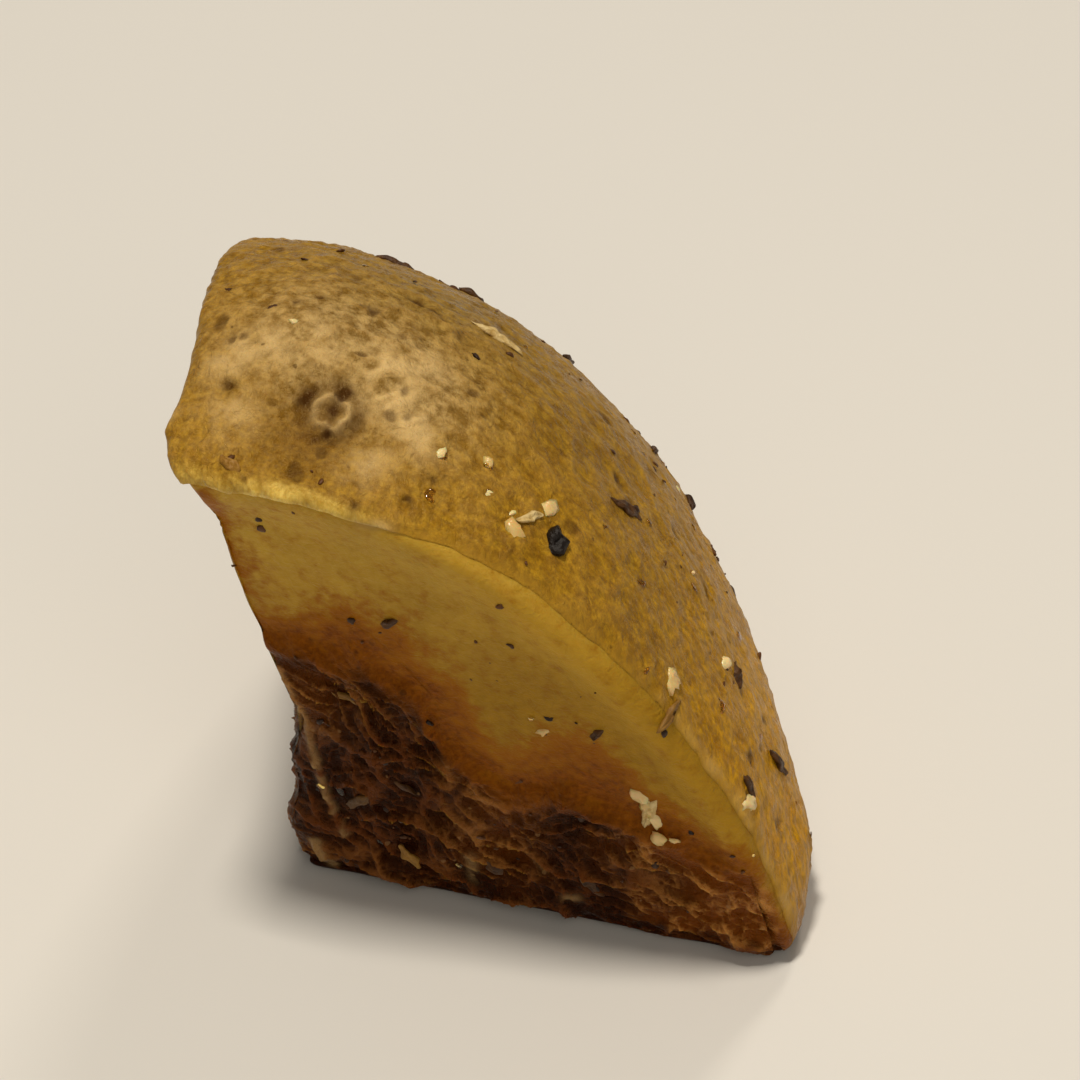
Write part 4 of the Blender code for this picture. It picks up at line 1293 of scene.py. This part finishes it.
bump(tree, shader, maths(tree, "SUBTRACT", creased, maths(tree, "MULTIPLY", spots, SPOT_BUMP)), SKIN_BUMP)
print("the potato skin has", len(tree.nodes), "nodes")

# %% [markdown]
# ## The finishes of the small things
#
# Each copy carries a tone, so one finish gives burnt, brown, golden and straw-coloured herbs. Specks and
# salt go from one colour to another by theirs. An oil bead is clear, and bends light as oil does.

# %% Small finishes
BURNT = srgb(18, 8, 3)
HERB_BUMP = 0.08
HERB_KINDS = (((0.0, 0.12), (44, 24, 8), (92, 58, 20)), ((0.58, 0.72), (128, 88, 26), (164, 122, 48)),
              ((0.78, 0.9), (176, 142, 74), (222, 200, 146)))

tree, shader = new_finish("dried herb", herbs)
streaks = use(tree, MOTTLE, Vector=object_place(tree), Size=0.5, Sharpness=2.5)
colour = BURNT
for tones, dark_kind, light_kind in HERB_KINDS:
    kind = mix(tree, streaks, srgb(*dark_kind), srgb(*light_kind))
    colour = mix(tree, ramp(tree, attribute(tree, "tone"), *tones), colour, kind)
fill(tree, shader.inputs["Base Color"], colour)
uniform(shader, Roughness=0.5, Specular_IOR_Level=0.3)
bump(tree, shader, streaks, HERB_BUMP)


def two_toned(name, piece, first, second, **values):
    """A finish that goes from one colour to another by each copy's tone."""
    tree, shader = new_finish(name, piece)
    colour = mix(tree, attribute(tree, "tone"), srgb(*first), srgb(*second))
    fill(tree, shader.inputs["Base Color"], colour)
    uniform(shader, **values)


two_toned("spice speck", specks, (26, 12, 5), (92, 54, 16), Roughness=0.5, Specular_IOR_Level=0.3)
# salt grains and pale grains painted as glints of oil
two_toned("salt grain", salt, (236, 210, 152), (210, 176, 108), Roughness=0.25, Subsurface_Weight=0.4,
          Subsurface_Scale=0.0005)
tree, shader = new_finish("oil bead", beads)
uniform(shader, Base_Color=srgb(250, 220, 130), Roughness=0.05, IOR=1.46, Transmission_Weight=1.0)
print("finishes:", [material.name for material in bpy.data.materials])

# %% [markdown]
# ## Floor, light and camera
#
# A pale floor and soft lights let the potato show itself. The camera stands where the photographer's
# did, seen from the chunk, and turns to it the shortest way, so the chunk keeps the tilt that it has in
# the photograph. A long lens fills the frame, because the place of a camera, and not its lens, sets the
# perspective.

# %% Floor and lights
FLOOR_SIZE = 1.6
WARM = (1.0, 0.91, 0.77)
ROOM_LIGHT, ROOM_STRENGTH = (1.0, 0.93, 0.82, 1.0), 0.13
LIGHTS_AIM = Vector((0.0, 0.0, 0.02))
LIGHTS = (("overhead", -10.0, 80.0, 0.6, 0.075, 2.6), ("behind", 175.0, 52.0, 0.7, 0.10, 0.9),
          ("front fill", 30.0, 35.0, 0.9, 0.7, 1.8))

floor_mesh = bpy.data.meshes.new("floor")
floor_corners = np.array(((-1.0, -1.0, 0.0), (1.0, -1.0, 0.0), (1.0, 1.0, 0.0), (-1.0, 1.0, 0.0)))
floor_mesh.from_pydata(floor_corners * FLOOR_SIZE / 2, [], [(0, 1, 2, 3)])
floor = bpy.data.objects.new("floor", floor_mesh)
bpy.context.scene.collection.objects.link(floor)
tree, shader = new_finish("pale floor", floor)
uniform(shader, Base_Color=(0.74, 0.73, 0.71, 1.0), Roughness=0.7, Specular_IOR_Level=0.2)


def area_light(name, azimuth, elevation, distance, size, power):
    """A square lamp that looks at the chunk from an azimuth and elevation in degrees."""
    lamp = bpy.data.lights.new(name, "AREA")
    lamp.size = size
    lamp.energy = power
    lamp.color = WARM
    turned, raised = math.radians(azimuth), math.radians(elevation)
    flat = math.cos(raised)
    way = Vector((math.sin(turned) * flat, -math.cos(turned) * flat, math.sin(raised)))
    holder = bpy.data.objects.new(name, lamp)
    holder.location = LIGHTS_AIM + way * distance
    holder.rotation_mode = "QUATERNION"
    holder.rotation_quaternion = way.to_track_quat("Z", "Y")
    bpy.context.scene.collection.objects.link(holder)


for light in LIGHTS:
    area_light(*light)

world = bpy.data.worlds.new("pale room")
bpy.context.scene.world = world
world.use_nodes = True
background = world.node_tree.nodes["Background"]
background.inputs["Color"].default_value = ROOM_LIGHT
background.inputs["Strength"].default_value = ROOM_STRENGTH
bpy.context.scene.view_settings.view_transform = "Standard"
print("lights:", [name for name, *_ in LIGHTS])

# %% Camera
EYE = np.array((87.6, -202.5, 200.0))
AXIS = Vector((-0.2096, 0.7706, -0.6018))
PHOTO_UP = Vector((-0.158, 0.5807, 0.7986))
AIM = Vector((0.0, 0.0, 19.0)) * MM
LENS, SENSOR, CLIP_START = 165.0, 36.0, 0.01

eye = Vector(to_frame(EYE))
photo_right = AXIS.cross(PHOTO_UP).normalized()
photo_turn = Matrix((photo_right, photo_right.cross(AXIS).normalized(), -AXIS)).transposed()
camera_data = bpy.data.cameras.new("camera")
camera_data.lens = LENS
camera_data.sensor_width = SENSOR
camera_data.clip_start = CLIP_START
camera = bpy.data.objects.new("camera", camera_data)
camera.location = eye
camera.rotation_mode = "QUATERNION"
camera.rotation_quaternion = AXIS.rotation_difference(AIM - eye) @ photo_turn.to_quaternion()
bpy.context.scene.collection.objects.link(camera)
bpy.context.scene.camera = camera
looking = (AIM - eye).normalized()
print("camera at", [round(v, 3) for v in eye], "looking", [round(v, 3) for v in looking])

# %% [markdown]
# ## Handing over to the frame
#
# Every piece says which body it rides on. The flesh, the crust, the skin and the herbs together stand
# for the imported solid, which stays for collision.

# %% Ride and replace
for piece in (flesh, crust, skin, herbs, specks, salt, beads):
    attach(piece, "root")
for piece in (flesh, crust, skin, herbs):
    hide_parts(NODE)
